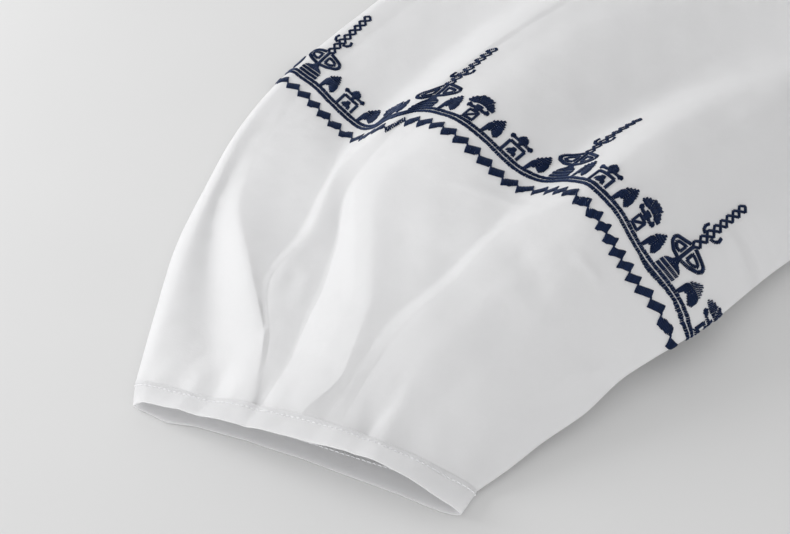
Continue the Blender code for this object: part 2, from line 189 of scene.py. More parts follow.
# Gathers along the cuff's seam, in millimetres: distance from the top edge, height, width
# and reach up the sleeve
GATHERS = (
    (8, 0.5, 1.8, 9), (16, -0.6, 2.0, 12), (22.5, 1.1, 1.6, 9), (30, -0.9, 2.2, 20),
    (37.5, 0.6, 2.2, 12), (47.3, -1.1, 1.8, 12), (53, 0.4, 2.0, 8), (58.5, -0.2, 1.7, 9),
    (64, 0.3, 1.9, 9), (71, -0.4, 2.1, 10), (77.5, 0.5, 2.1, 11), (86, -1.3, 2.2, 16),
    (92.5, 0.8, 2.3, 14), (101, -0.6, 2.2, 11), (109, 0.5, 2.1, 9), (116, -0.3, 1.9, 8),
)

# Slight unevenness of pressed cloth: wave length in millimetres, direction in degrees and
# height in millimetres
CRINKLES = (
    (11.0, 20, 0.05), (7.3, 55, 0.03), (17.0, -35, 0.08), (9.1, 100, 0.04), (26.0, 5, 0.08),
    (13.7, 75, 0.06),
)
CRINKLE_DRIFT = 0.8  # how far each wave wanders, in radians
CRINKLE_DRIFT_LENGTH = 2.7  # over this many of its wave lengths

# The front's creases, in the same columns as the sleeve's
FRONT_CREASES = (
    ("from the right armhole", -236, 60, -120, -90, 8, 5.2, 13),
    ("from the left armhole", 232, 44, 138, -70, -6, 4.6, 12),
    ("right of the middle", -62, 40, -84, -190, 6, 4.2, 15),
    ("left of the middle", 74, -30, 58, -232, -8, 4.4, 14),
    ("above the hem", -176, -150, -150, -290, 5, 4.0, 13),
    ("over the chest", -40, 170, 96, 128, 7, 3.2, 14),
    ("down from the neck, right", -58, 196, -104, 70, -6, 2.6, 11),
    ("down from the neck, left", 66, 190, 128, 60, 5, 2.4, 12),
    ("short, at the right armhole", -246, 120, -196, 96, 3, 2.0, 7),
    ("beside it", -248, 100, -192, 70, 4, -1.6, 6),
    ("short, at the left armhole", 248, 96, 204, 66, -3, 1.9, 7),
    ("at the right side", -262, -96, -206, -128, 3, 1.8, 8),
    ("at the left side", 262, -150, 208, -176, -4, 1.9, 8),
    ("middle of the hem", 12, -214, 22, -296, 2, 2.2, 9),
    ("left of the hem", 150, -210, 168, -298, 3, -1.8, 8),
    ("under the neck", -22, 214, 34, 206, 4, 1.4, 7),
)
HEM_TURN = 20 * MM
HEM_STEP = 0.5 * MM  # the turned hem is this much thicker
HEM_STITCHES_FROM_SIDE = 4 * MM
ARMHOLE_STITCHES_IN = 3 * MM
ARMHOLE_STITCHES_SHORT = (4 * MM, 8 * MM)  # they stop this far off the armpit and the shoulder

# The embroidered border's double line: share of the sleeve's width from the top edge, and
# place along the sleeve. It drifts with the folds, as the cloth does.
BORDER_PATH = (
    (0.00, 1.048), (0.08, 1.045), (0.14, 1.036), (0.20, 1.029), (0.26, 1.024), (0.32, 1.004),
    (0.345, 1.006), (0.375, 1.035), (0.43, 1.042), (0.52, 1.040), (0.60, 1.036), (0.674, 1.052),
    (0.73, 1.037), (0.80, 1.023), (0.85, 1.012), (0.90, 1.006), (0.95, 1.008), (1.00, 0.995),
)
BORDER_PLACE = 1.03  # about where the whole line lies along the sleeve
LENGTHWAYS = (0.98, 1.1)  # the cloth's lengthways direction is read between these places

# How finely the cloth is drawn
ROWS_TO_BORDER = 110
ROWS_TO_ARMHOLE = 66
ROWS_WIDEN = 1.4  # above 1, the rows lie wider apart towards the armhole
UPPER_STEP = 2.2 * MM
UNDERSIDE_STEPS = 44
EDGE_SHARES = (0.0, 0.05, 0.15, 0.4, 1.0)  # points round a folded edge, as shares of EDGE_RUN
CUFF_STEP = 1.8 * MM
BAND_STEPS = 9
BAND_THICK = 1.0 * MM
BAND_CROWN = 0.35 * MM
BAND_DENT = 0.2 * MM  # how deep the binding's stitches pull it in
BAND_STITCH_STEP = 1  # the point across the binding that its stitches run along
BAND_TURNS = 9  # sections of the binding over each shoulder, its two ends among them
NECK_COLUMNS = 64
SHOULDER_COLUMNS = 36
ROWS_TO_ARMPIT = 80
ROWS_ABOVE = 72
BACK_FINENESS = 0.25  # the level back needs a quarter of the front's rows
HEM_ROWS = (-2.2, -1.4, -1.0, -0.5, 0.0, 0.6)  # extra rows at the hem's stitches, in millimetres
SHARP_TURN = 60  # degrees; a fold between faces that turns further is drawn crisp

# Embroidery, in millimetres on the cloth
LINE_OFFSETS = (-1.05, 1.05)  # the double line's two bands, from the middle between them
LINE_WIDTH = 1.25
LINE_PITCH = 0.54
LINE_LEAN = 0.1  # how far each end of a stitch leans along its line
LINE_UNEVEN = 0.07
LINE_SEED = 7
LINE_GAP = 0.2  # the double line stops this short of the sleeve's seam
SATIN_PITCH = 0.6  # from stitch to stitch along a satin line
FILL_PITCH = 0.52  # from stitch to stitch across a filled shape
FILL_LONGEST = 4.2
FILL_SHORTEST = 0.35
FILL_SPLITS = (0.42, 0.58)  # long rows are split here in turn, as bricks lie
RUNNING_PITCH = 1.6
RUNNING_HALF = 0.85
THREAD = 0.66 * MM
THREAD_SIDES = 4  # corners of a thread's section
STITCH_POINTS = ((0.0, -0.08), (0.16, 0.2), (0.5, 0.27), (0.84, 0.2), (1.0, -0.08))  # share, rise
REACH_DOWN = 13.0  # how far the border is mapped below and above its double line
REACH_UP = 54.0
MAP_STEP = 0.5
PATH_FINENESS = 6  # points of the double line's path for each column of the cloth's grid
SURFACE_STEP = 0.25  # share of a grid step over which the surface's slope is read
SEAM_SHARE = 0.12  # where the sleeve's seam lies on the underside, from the underarm edge
BLOCK_PITCH = 7.05
BLOCK_TURN = 31
BLOCK_SIZE = (6.0, 3.3)
BLOCK_LEVEL = -7.8
BLOCK_MARGIN = 4  # room between the last block and the sleeve's seam
MOTIF_PITCH = 12.4
MOTIF_MARGIN = 6
MOTIF_ORDER = ("urn", "hut", "palmette", "urn", "palmette", "hut")  # with a bud after each
DIAMONDS = 8
DIAMOND_RISE = 4.0
DIAMOND_HALF = 1.9
KNOB_POINTS = 10

# How the stitched cloth eases round the folds: number of a motif counted from the one at
# the sleeve's top edge, and its middle's real distance from that edge.
CLOTH_EASE = (
    (0, 13.5), (3, 52.7), (6, 98.0), (9, 130.8), (12, 164.5), (15, 198.3), (18, 226.0), (19, 238.2),
    (20, 253.6),
)

# Sewing
SEWING_THREAD = 0.46 * MM
SEWING_PITCH = 1.9 * MM
SEWING_LENGTH = 1.2 * MM
STITCH_RISE = 0.26 * MM
SEWING_POINTS = ((0.0, -0.2), (0.2, 0.7), (0.5, 1.0), (0.8, 0.7), (1.0, -0.2))  # share, rise
SEWING_LINE_STEP = 0.25  # the cuff's line of stitches is read at this share of a grid step

# Cotton, thread and floor. A weave map's unit is 10 mm, and bumps are in metres.
WEAVE_UNIT = 10 * MM
WEAVE_PITCH = 0.045  # one over and under of the weave
WEAVE_BUMP = 0.00003
SLUB_BUMP = 0.0002
SINGLE_PASSES = 0.44  # share of the cotton's look that is light from its other side
FOLDED_PASSES = 0.58
COTTON = ((0.93, 0.93, 0.935), (0.955, 0.955, 0.96))
NAVY = ((0.002, 0.004, 0.013), (0.007, 0.014, 0.045))
NAVY_GLOW = (0.32, 0.50, 1.0)
WHITE = ((0.84, 0.84, 0.86), (0.92, 0.92, 0.93))
WHITE_GLOW = (1, 1, 1)
FLOOR_TONES = ((0.63, 0.63, 0.63), (0.65, 0.65, 0.65))
FLOOR_HALF = 4.0
FLOOR_BELOW = 0.1 * MM

# Camera: its target on the surface, its turn and rise in degrees
CAMERA_LENS = 50
CAMERA_SENSOR = 36
CAMERA_NEAR = 0.01
CAMERA_TARGET = Vector((-0.534, 0.054, 0))
CAMERA_TURN = -30
CAMERA_RISE = 50
CAMERA_DISTANCE = 0.42

# Lamps: size in metres, power in watts, turn from the camera's right and rise in degrees,
# and distance from the camera's target in metres
LAMPS = (
    ("window", 0.4, 2.2, 160, 24, 0.95),
    ("reflector", 1.2, 3.2, -100, 10, 1.6),
)
LIGHT_SPREAD = 120  # degrees; keeps the lamps from lighting the floor right under them
ROOM_LIGHT = 0.79  # strength of the even white room


def ease(value):
    """0 to 1 with level ends."""
    value = np.clip(value, 0.0, 1.0)
    return value * value * (3 - 2 * value)


def fair_curve(knots, values, at):
    """A smooth curve through the knots that never swings past them."""
    knots, values, at = (np.asarray(part, float) for part in (knots, values, at))
    steps = np.diff(knots)
    slopes = np.diff(values) / steps
    inner = np.where(
        slopes[1:] * slopes[:-1] > 0,
        2 * slopes[1:] * slopes[:-1] / np.where(slopes[1:] + slopes[:-1] == 0, 1, slopes[1:] + slopes[:-1]),
        0.0,
    )
    tangents = np.concatenate([slopes[:1], inner, slopes[-1:]])
    span = np.clip(np.searchsorted(knots, at, side="right") - 1, 0, len(steps) - 1)
    t = np.clip((at - knots[span]) / steps[span], 0.0, 1.0)
    start = values[span] * (1 + 2 * t) * (1 - t) ** 2
    end = values[span + 1] * t * t * (3 - 2 * t)
    bend = steps[span] * (tangents[span] * t * (1 - t) ** 2 - tangents[span + 1] * t * t * (1 - t))
    return start + end + bend


def run_along(points):
    """Distance along a line of points, from its first one to each."""
    return np.concatenate([[0], np.cumsum(np.linalg.norm(np.diff(points, axis=0), axis=1))])


def read_line(at, run, values):
    """Points or directions of a line at given distances along it."""
    return np.stack([np.interp(at, run, values[:, axis]) for axis in range(values.shape[1])], axis=-1)


def unit(vectors):
    """The same directions, each one long."""
    return vectors / np.linalg.norm(vectors, axis=-1)[..., None]


def edges_at(place):
    """Top edge point, underarm edge point and underarm lift of the right sleeve."""
    rows = np.array(SLEEVE_EDGES)
    top_x, top_y, under_x, under_y, lift = (
        fair_curve(rows[:, 0], rows[:, column], place) * MM for column in range(1, 6)
    )
    return np.array([top_x, top_y]), np.array([under_x, under_y]), lift


def armhole_height(share):
    """Top of the cloth along the armhole seam, which both sleeve and front follow."""
    return 2 * EDGE_HALF + ARMHOLE_LOFT * np.sin(np.pi * share) ** ARMHOLE_FULLNESS


def folds_at(place, other_sleeve):
    """Share of the width and height of every fold row at this place along the sleeve."""
    along = min(place, 1.0)
    grown = ease(place / OTHER_FOLDS_RUN) if other_sleeve else 0.0
    fade = ease((place - FADE_START) / (FADE_END - FADE_START))
    shares, heights = [], []
    for (_, *shares_there, shift), (_, *heights_there, growth) in zip(FOLD_SHARES, FOLD_HEIGHTS):
        share = float(fair_curve(FOLD_PLACES, shares_there, along)) + shift * grown
        height = float(fair_curve(FOLD_PLACES, heights_there, along)) * MM
        height *= 1 + (growth - 1) * grown
        shares.append(share)
        heights.append(height * (1 - fade) + armhole_height(share) * fade)
    return np.array(shares), np.array(heights)


def edge_marks(fold_shares, width):
    """The fold rows' shares with the ends of the two folded edges beside them."""
    near = EDGE_RUN / width
    return np.maximum.accumulate(np.concatenate([[near], fold_shares, [1 - near]]))


def steps_between_folds(other_sleeve):
    """Grid steps of each stretch between two fold rows, enough for its widest place."""
    widest = 0
    for place in (*FOLD_PLACES, WIDE_PLACE):
        top, under, _ = edges_at(place)
        width = np.linalg.norm(under - top)
        shares, _ = folds_at(place, other_sleeve)
        widest = np.maximum(widest, np.diff(edge_marks(shares, width)) * width)
    return np.maximum(np.ceil(widest / UPPER_STEP), 2).astype(int)


def upper_shares(fold_shares, steps, width):
    """Shares of the width for the upper layer's points, so that they run along the folds."""
    near = np.array(EDGE_SHARES) * EDGE_RUN / width
    marks = edge_marks(fold_shares, width)
    between = [np.linspace(marks[i], marks[i + 1], count, endpoint=False) for i, count in enumerate(steps)]
    return np.concatenate([near[:-1], *between, [marks[-1]], 1 - near[-2::-1]])


def ring(top, under, lift, fold_shares, fold_heights, steps, rise):
    """Outer and inner outline of a flattened tube between two edge points, in space, and
    the share of the width at each of its points."""
    width = np.linalg.norm(under - top)
    upper = upper_shares(fold_shares, steps, width)
    near = np.array(EDGE_SHARES) * EDGE_RUN / width
    flat = np.linspace(near[-1], 1 - near[-1], UNDERSIDE_STEPS)
    lower = np.concatenate([near[1:-1], flat, 1 - near[-2:0:-1]])[::-1]
    knots = np.concatenate([[0], fold_shares, [1]])
    tops = np.concatenate([[2 * EDGE_HALF], fold_heights, [2 * EDGE_HALF + lift]])
    across = (under - top) / width

    def parted(share):
        run = np.minimum(share, 1 - share) * width / EDGE_RUN
        return np.sqrt(1 - (1 - np.clip(run, 0, 1)) ** 2)

    def middle(share):
        return EDGE_HALF + lift * ease((share - UNDERSIDE_FLAT) / (1 - UNDERSIDE_FLAT))

    plan = top + upper[:, None] * width * across
    height = fair_curve(knots, tops, upper) + rise(plan[:, 0], plan[:, 1])
    roof = middle(upper) + (height - middle(upper)) * parted(upper)
    floor = middle(lower) - (EDGE_HALF - UNDER_ROOM) * parted(lower)
    outline = np.column_stack([np.concatenate([upper, lower]) * width, np.concatenate([roof, floor])])
    before, after = np.roll(outline, 1, axis=0), np.roll(outline, -1, axis=0)
    first, second = outline - before, after - outline
    both = unit(first) + unit(second)
    inward = unit(np.column_stack([both[:, 1], -both[:, 0]]))

    def in_space(points):
        return np.column_stack([top + points[:, :1] * across, points[:, 1]])

    return in_space(outline), in_space(outline + WALL * inward), np.concatenate([upper, lower])


def grid_faces(rows, columns, start, closed_columns, closed_rows=False):
    """Quads over a grid of vertices numbered row by row."""
    i, j = np.meshgrid(
        np.arange(rows if closed_rows else rows - 1),
        np.arange(columns if closed_columns else columns - 1),
        indexing="ij",
    )
    i, j = i.ravel(), j.ravel()
    right, up = (j + 1) % columns, (i + 1) % rows
    quads = [i * columns + j, i * columns + right, up * columns + right, up * columns + j]
    return np.column_stack(quads) + start


def crease_rise(creases, x, y):
    """Height that soft creases add at plan places."""
    total = np.zeros_like(x)
    for _, x0, y0, x1, y1, bow, height, spread in creases:
        start, run = np.array([x0, y0]) * MM, np.array([x1 - x0, y1 - y0]) * MM
        length = np.linalg.norm(run)
        along = ((x - start[0]) * run[0] + (y - start[1]) * run[1]) / length**2
        inside = np.clip(along, 0, 1)
        away = ((x - start[0]) * -run[1] + (y - start[1]) * run[0]) / length
        away = away - 4 * bow * MM * inside * (1 - inside)
        from_start, from_end = (ease(CREASE_START + CREASE_GROWTH * part) for part in (along, 1 - along))
        ends = from_start * from_end
        total += height * MM * ends * np.exp(-((away / (spread * MM)) ** 2))
    return total


def crinkle_rise(x, y):
    """Slight unevenness all over the cloth."""
    total = np.zeros_like(x)
    for length, degrees, height in CRINKLES:
        turn = math.radians(degrees)
        way = (x * math.cos(turn) + y * math.sin(turn)) / (length * MM)
        beside = (y * math.cos(turn) - x * math.sin(turn)) / (length * MM)
        drift = CRINKLE_DRIFT * np.sin(beside / CRINKLE_DRIFT_LENGTH)
        total += height * MM * np.sin(2 * np.pi * way + drift)
    return total


def gather_rise(x, y, other_sleeve):
    """Small gathers that fan out of the cuff's seam."""
    top, under, _ = edges_at(0.0)
    across = (under - top) / np.linalg.norm(under - top)
    beside = (x - top[0]) * across[0] + (y - top[1]) * across[1]
    inwards = (x - top[0]) * -across[1] + (y - top[1]) * across[0]
    if other_sleeve:
        beside = np.linalg.norm(under - top) - beside
    total = np.zeros_like(x)
    for place, height, spread, reach in GATHERS:
        fan = 1 + np.clip(inwards / (reach * MM), 0, 2)
        fading = np.exp(-((np.maximum(inwards, 0) / (reach * MM)) ** 2))
        total += height * MM * fading * np.exp(-(((beside - place * MM) / (spread * MM * fan)) ** 2))
    return total


def sleeve_rise(other_sleeve):
    """What the small creases add to a sleeve's upper layer, as a function of the place."""
    shift = np.array(OTHER_SLEEVE_SHIFT) * MM * other_sleeve

    def rise(x, y):
        creases = crease_rise(SLEEVE_CREASES, x - shift[0], y - shift[1])
        return creases + crinkle_rise(x, y) + gather_rise(x, y, other_sleeve)

    return rise


def sleeve_rings(other_sleeve):
    """Every ring of a sleeve, cuff seam to armhole, and the place of each."""
    steps = steps_between_folds(other_sleeve)
    to_border = np.linspace(TUCK, 1, ROWS_TO_BORDER + 1)
    to_armhole = 1 + (np.arange(1, ROWS_TO_ARMHOLE + 1) / ROWS_TO_ARMHOLE) ** ROWS_WIDEN
    places = np.concatenate([to_border, to_armhole])
    rise = sleeve_rise(other_sleeve)
    rings = [ring(*edges_at(place), *folds_at(place, other_sleeve), steps, rise) for place in places]
    outer, inner, shares = (np.array([one[part] for one in rings]) for part in range(3))
    return outer, inner, shares, places


def upper_points(outer):
    """How many of a ring's points lie on its upper layer. The underside's follow them."""
    return outer.shape[1] - UNDERSIDE_STEPS - 2 * (len(EDGE_SHARES) - 2)


def mirrored(points, other_sleeve):
    """Points of the right sleeve, or the same points on the other one."""
    return points * (-1, 1, 1) if other_sleeve else points


def put_in_scene(name, data):
    """A new object at the origin that shows this mesh, camera or light."""
    thing = bpy.data.objects.new(name, data)
    bpy.context.scene.collection.objects.link(thing)
    return thing


def add_mesh(name, points, faces, material):
    """A named mesh object whose faces point outwards."""
    mesh = bpy.data.meshes.new(name)
    mesh.from_pydata(points.tolist(), [], [tuple(face) for face in faces])
    mesh.update()
    mesh.calc_loop_triangles()
    corners = np.array([tuple(triangle.vertices) for triangle in mesh.loop_triangles])
    spots = points[corners]
    volume = np.einsum("ij,ij->i", spots[:, 0], np.cross(spots[:, 1], spots[:, 2])).sum()
    if volume < 0:
        mesh.flip_normals()
    mesh.shade_smooth()
    mesh.set_sharp_from_angle(angle=math.radians(SHARP_TURN))
    mesh.materials.append(material)
    return put_in_scene(name, mesh)


def give_weave_map(piece, spots):
    """A UV map from one (across, along) pair in metres for each vertex."""
    mesh = piece.data
    layer = mesh.uv_layers.new(name="weave")
    vertex = np.zeros(len(mesh.loops), int)
    mesh.loops.foreach_get("vertex_index", vertex)
    layer.data.foreach_set("uv", (spots[vertex] / WEAVE_UNIT).astype(np.float32).ravel())


def run_of_means(steps, axis):
    """Distance from the first point to each, by the steps' mean lengths over one axis."""
    return np.concatenate([[0], np.cumsum(np.linalg.norm(steps, axis=2).mean(axis=axis))])


def tube_weave(outer):
    """Across and along measures of a tube's outer points, then the same for its inner ones."""
    across = run_of_means(np.diff(outer, axis=1), 0)
    along = run_of_means(np.diff(outer, axis=0), 1)
    grid = np.stack(np.meshgrid(across, along), axis=-1).reshape(-1, 2)
    return np.concatenate([grid, grid])


def tube(name, outer, inner, other_sleeve, material):
    """A tube of thin cloth, open at both ends, for the right sleeve or the other one."""
    count, around = outer.shape[:2]
    points = mirrored(np.concatenate([outer.reshape(-1, 3), inner.reshape(-1, 3)]), other_sleeve)
    shell = count * around
    faces = [grid_faces(count, around, 0, True), grid_faces(count, around, shell, True)[:, ::-1]]
    j = np.arange(around)
    k = (j + 1) % around
    for row, turned_over in ((0, False), (count - 1, True)):
        rim = row * around
        lip = np.column_stack([rim + j, shell + rim + j, shell + rim + k, rim + k])
        faces.append(lip[:, ::-1] if turned_over else lip)
    piece = add_mesh(name, points, np.concatenate(faces), material)
    give_weave_map(piece, tube_weave(outer))
    return piece


class ClothSurface:
    """A tube's outer surface, read at any row and column between its grid points."""

    def __init__(self, points):
        self.points = points
        self.rows, self.columns = points.shape[:2]
        along = np.gradient(points, axis=0)
        round_it = (np.roll(points, -1, axis=1) - np.roll(points, 1, axis=1)) / 2
        self.normals = unit(np.cross(round_it, along))
        middle = points.reshape(-1, 3).mean(axis=0)
        outward = np.einsum("ijk,ijk->ij", self.normals, points - middle).mean()
        if outward < 0:
            self.normals = -self.normals

    def read(self, grid, row, column):
        """Values of a grid between its points. Columns run on round the tube."""
        row = np.clip(row, 0, self.rows - 1.001)
        i = np.floor(row).astype(int)
        j = np.floor(column).astype(int)
        a, b = (row - i)[..., None], (column - j)[..., None]
        j, k = j % self.columns, (j + 1) % self.columns
        near = grid[i, j] * (1 - b) + grid[i, k] * b
        far = grid[i + 1, j] * (1 - b) + grid[i + 1, k] * b
        return near * (1 - a) + far * a

    def at(self, row, column):
        """Points on the surface."""
        return self.read(self.points, row, column)

    def normal(self, row, column):
        """Outward directions on the surface."""
        return unit(self.read(self.normals, row, column))

    def step(self, row, column, move):
        """The row and column after a small move in space along the surface."""
        d = SURFACE_STEP
        along = (self.at(row + d, column) - self.at(row - d, column)) / (2 * d)
        round_it = (self.at(row, column + d) - self.at(row, column - d)) / (2 * d)
        aa, bb = (along * along).sum(-1), (round_it * round_it).sum(-1)
        ab = (along * round_it).sum(-1)
        am, bm = (along * move).sum(-1), (round_it * move).sum(-1)
        spread = aa * bb - ab * ab
        return row + (am * bb - bm * ab) / spread, column + (bm * aa - am * ab) / spread


class Nodes:
    """Adds nodes to one tree: a type, then its settings, then values or links by socket."""

    def __init__(self, tree):
        self.tree = tree

    def add(self, kind, settings=None, inputs=None):
        """A new node of this type."""
        node = self.tree.nodes.new(kind)
        for name, setting in (settings or {}).items():
            setattr(node, name, setting)
        for name, given in (inputs or {}).items():
            given = given.socket if isinstance(given, Value) else given
            if isinstance(given, bpy.types.NodeSocket):
                self.tree.links.new(given, node.inputs[name])
            else:
                node.inputs[name].default_value = given
        return node

    def maths(self, operation, *given):
        """The result of a sum, product or the like, for use in further ones."""
        node = self.add("ShaderNodeMath", {"operation": operation}, dict(enumerate(given)))
        return Value(self, node.outputs[0])


class Value:
    """A number socket that takes part in sums and products as a plain number does."""

    def __init__(self, nodes, socket):
        self.nodes = nodes
        self.socket = socket

    def __add__(self, other):
        return self.nodes.maths("ADD", self, other)

    def __radd__(self, other):
        return self.nodes.maths("ADD", other, self)

    def __mul__(self, other):
        return self.nodes.maths("MULTIPLY", self, other)

    def __rmul__(self, other):
        return self.nodes.maths("MULTIPLY", other, self)

    def sine(self):
        return self.nodes.maths("SINE", self)


class BorderMap:
    """Turns places on the embroidery, in millimetres along and above the double line, into
    rows and columns of the sleeve's grid."""

    def __init__(self, surface, shares, places, upper_count):
        self.surface = surface
        self.knots = np.array(CLOTH_EASE) * (MOTIF_PITCH, 1)
        shares = shares[int(np.searchsorted(places, BORDER_PLACE))]
        start = upper_count + UNDERSIDE_STEPS * SEAM_SHARE
        column = start + np.linspace(0, surface.columns, surface.columns * PATH_FINENESS + 1)
        row = self.path_rows(shares, places, upper_count, column)
        points = surface.at(row, column)
        run = run_along(points) / MM
        self.length = run[-1]
        self.along = np.arange(0, self.length, MAP_STEP)
        self.above = np.arange(-REACH_DOWN, REACH_UP + MAP_STEP, MAP_STEP)
        first_row = np.interp(self.along, run, row)
        first_column = np.interp(self.along, run, column)
        self.top_edge_at = float(np.interp(surface.columns, column, run))
        self.rows, self.columns = self.walk(first_row, first_column, shares)

    def path_rows(self, shares, places, upper_count, column):
        """Row of the double line at each column, the same on both layers at the two edges."""
        knots = np.array(BORDER_PATH)
        upper = fair_curve(knots[:, 0], knots[:, 1], shares)
        lower = knots[0, 1] + (knots[-1, 1] - knots[0, 1]) * shares
        place = np.where(np.arange(len(shares)) < upper_count, upper, lower)
        closed = np.append(place, place[0])
        place = np.interp(column % len(shares), np.arange(len(closed)), closed)
        return np.interp(place, places, np.arange(len(places)))

    def walk(self, row, column, shares):
        """Steps off the double line, straight on along the cloth's own length."""
        surface = self.surface
        middle = len(np.arange(-REACH_DOWN, 0, MAP_STEP))
        rows = np.zeros((len(self.along), len(self.above)))
        columns = np.zeros_like(rows)
        share = np.interp(column % len(shares), np.arange(len(shares) + 1), np.append(shares, shares[0]))
        (top, under, _), (far_top, far_under, _) = (edges_at(place) for place in LENGTHWAYS)
        lengthways = np.outer(1 - share, far_top - top) + np.outer(share, far_under - under)
        lengthways = np.column_stack([lengthways, np.zeros(len(share))])
        for way in (-1, 1):
            r, c = row.copy(), column.copy()
            index = middle
            while 0 <= index < len(self.above):
                rows[:, index], columns[:, index] = r, c
                normal = surface.normal(r, c)
                heading = lengthways - normal * (lengthways * normal).sum(-1)[:, None]
                heading = unit(heading) * way
                r, c = surface.step(r, c, heading * MAP_STEP * MM)
                index += way
        return rows, columns

    def eased(self, worked):
        """Distance along the double line of a place on the pattern, which starts at the
        first motif's middle."""
        inside = np.interp(worked, self.knots[:, 0], self.knots[:, 1])
        before = np.minimum(worked - self.knots[0, 0], 0)
        after = np.maximum(worked - self.knots[-1, 0], 0)
        return self.top_edge_at + inside + before + after

    def worked_ends(self):
        """Where the pattern starts and ends, at the sleeve's own seam."""
        start = self.knots[0, 0] - (self.top_edge_at + self.knots[0, 1])
        end = self.knots[-1, 0] + self.length - (self.top_edge_at + self.knots[-1, 1])
        return start, end

    def read(self, worked, above):
        """Rows and columns of the cloth's grid for places on the pattern."""
        i = np.clip(self.eased(worked) / MAP_STEP, 0, len(self.along) - 1.001)
        j = np.clip((above + REACH_DOWN) / MAP_STEP, 0, len(self.above) - 1.001)
        a, b = i - np.floor(i), j - np.floor(j)
        i, j = i.astype(int), j.astype(int)

        def blend(table):
            near = table[i, j] * (1 - b) + table[i, j + 1] * b
            far = table[i + 1, j] * (1 - b) + table[i + 1, j + 1] * b
            return near * (1 - a) + far * a

        return blend(self.rows), blend(self.columns)


def turned(points, degrees):
    """Flat points turned about their origin."""
    angle = math.radians(degrees)
    spin = np.array([[math.cos(angle), -math.sin(angle)], [math.sin(angle), math.cos(angle)]])
    return np.asarray(points, float) @ spin.T


def fill_stitches(outline, degrees, longest=FILL_LONGEST):
    """Parallel stitches across a closed outline, long ones split in a brick pattern."""
    points = turned(outline, -degrees)
    ahead = np.roll(points, -1, axis=0)
    stitches = []
    rows = np.arange(points[:, 1].min() + FILL_PITCH / 2, points[:, 1].max(), FILL_PITCH)
    for number, y in enumerate(rows):
        crossing = (points[:, 1] <= y) != (ahead[:, 1] <= y)
        low, high = points[crossing], ahead[crossing]
        x = np.sort(low[:, 0] + (y - low[:, 1]) / (high[:, 1] - low[:, 1]) * (high[:, 0] - low[:, 0]))
        for left, right in zip(x[::2], x[1::2]):
            if right - left < FILL_SHORTEST:
                continue
            cuts = [left, right]
            if right - left > longest:
                cuts = [left, left + (right - left) * FILL_SPLITS[number % 2], right]
            stitches += [[(a, y), (b, y)] for a, b in zip(cuts, cuts[1:])]
    return turned(np.array(stitches).reshape(-1, 2), degrees).reshape(-1, 2, 2)


def along_line(points, spacing, closed=False):
    """Evenly spaced spots on a line through the points, with its direction at each."""
    points = np.asarray(points, float)
    if closed:
        points = np.vstack([points, points[:1]])
    run = run_along(points)
    count = max(int(round(run[-1] / spacing)), 1)
    at = (np.arange(count) + 0.5) * run[-1] / count
    direction = read_line(at + spacing, run, points) - read_line(at - spacing, run, points)
    return read_line(at, run, points), unit(direction)


def satin_stitches(points, width, closed=False):
    """Stitches laid side by side across a line."""
    spots, direction = along_line(points, SATIN_PITCH, closed)
    side = np.column_stack([-direction[:, 1], direction[:, 0]]) * width / 2
    side += direction * LINE_LEAN
    return np.stack([spots - side, spots + side], axis=1)


def running_stitches(points):
    """Thin stitches end to end along a line."""
    spots, direction = along_line(points, RUNNING_PITCH)
    return np.stack([spots - direction * RUNNING_HALF, spots + direction * RUNNING_HALF], axis=1)


def circle(x, y, radius):
    """Outline of a small knob."""
    turn = np.linspace(0, 2 * np.pi, KNOB_POINTS, endpoint=False)
    return np.column_stack([x + radius * np.cos(turn), y + radius * np.sin(turn)])


def both_sides(points):
    """A line and its mirror image over the motif's middle."""
    return [points, [(-x, y) for x, y in points]]


# Each motif is drawn in millimetres: x along the double line from the motif's
# middle, y above the line's upper edge.
def bud():
    """A bell on two feet under a striped pointed cap."""
    bell = [
        (-3.9, -0.4), (-2.6, 0.3), (-1.9, 2.2), (-0.2, 3.0), (1.0, 2.0), (2.4, 1.2), (3.7, 2.4), (3.8, 5.2),
        (3.2, 6.6), (-2.9, 6.6), (-3.7, 5.2), (-3.9, 3.0),
    ]
    stripes = [(-3.0, 3.2, 7.4), (-2.0, 2.8, 8.5), (-0.9, 2.2, 9.6), (0.2, 1.4, 10.6)]
    return [fill_stitches(bell, 4)] + [satin_stitches([(a, y), (b, y - 0.3)], 0.75) for a, b, y in stripes]


def hut():
    """A small frame with a sprig inside and a knobbed rail over its roof."""
    frame_line = [(-4.1, -0.4), (-4.1, 6.1), (4.0, 6.1), (4.0, 0.6)]
    parts = [satin_stitches(frame_line[k : k + 2], 1.2) for k in range(3)]
    sprig = [(-2.4, 1.1), (2.3, 0.9), (2.1, 2.6), (1.2, 3.1), (0.9, 4.6)]
    sprig += [(-0.9, 4.6), (-1.2, 3.3), (-2.3, 2.9)]
    parts.append(fill_stitches(sprig, 10))
    parts.append(satin_stitches([(0, 6.6), (0, 8.4)], 1.5))
    parts.append(satin_stitches([(-4.0, 8.5), (4.0, 8.5)], 1.1))
    parts += [fill_stitches(circle(x, 8.5, 1.1), 30) for x in (-4.8, 4.8)]
    parts.append(fill_stitches(circle(0, 9.7, 2.3), 5))
    return parts


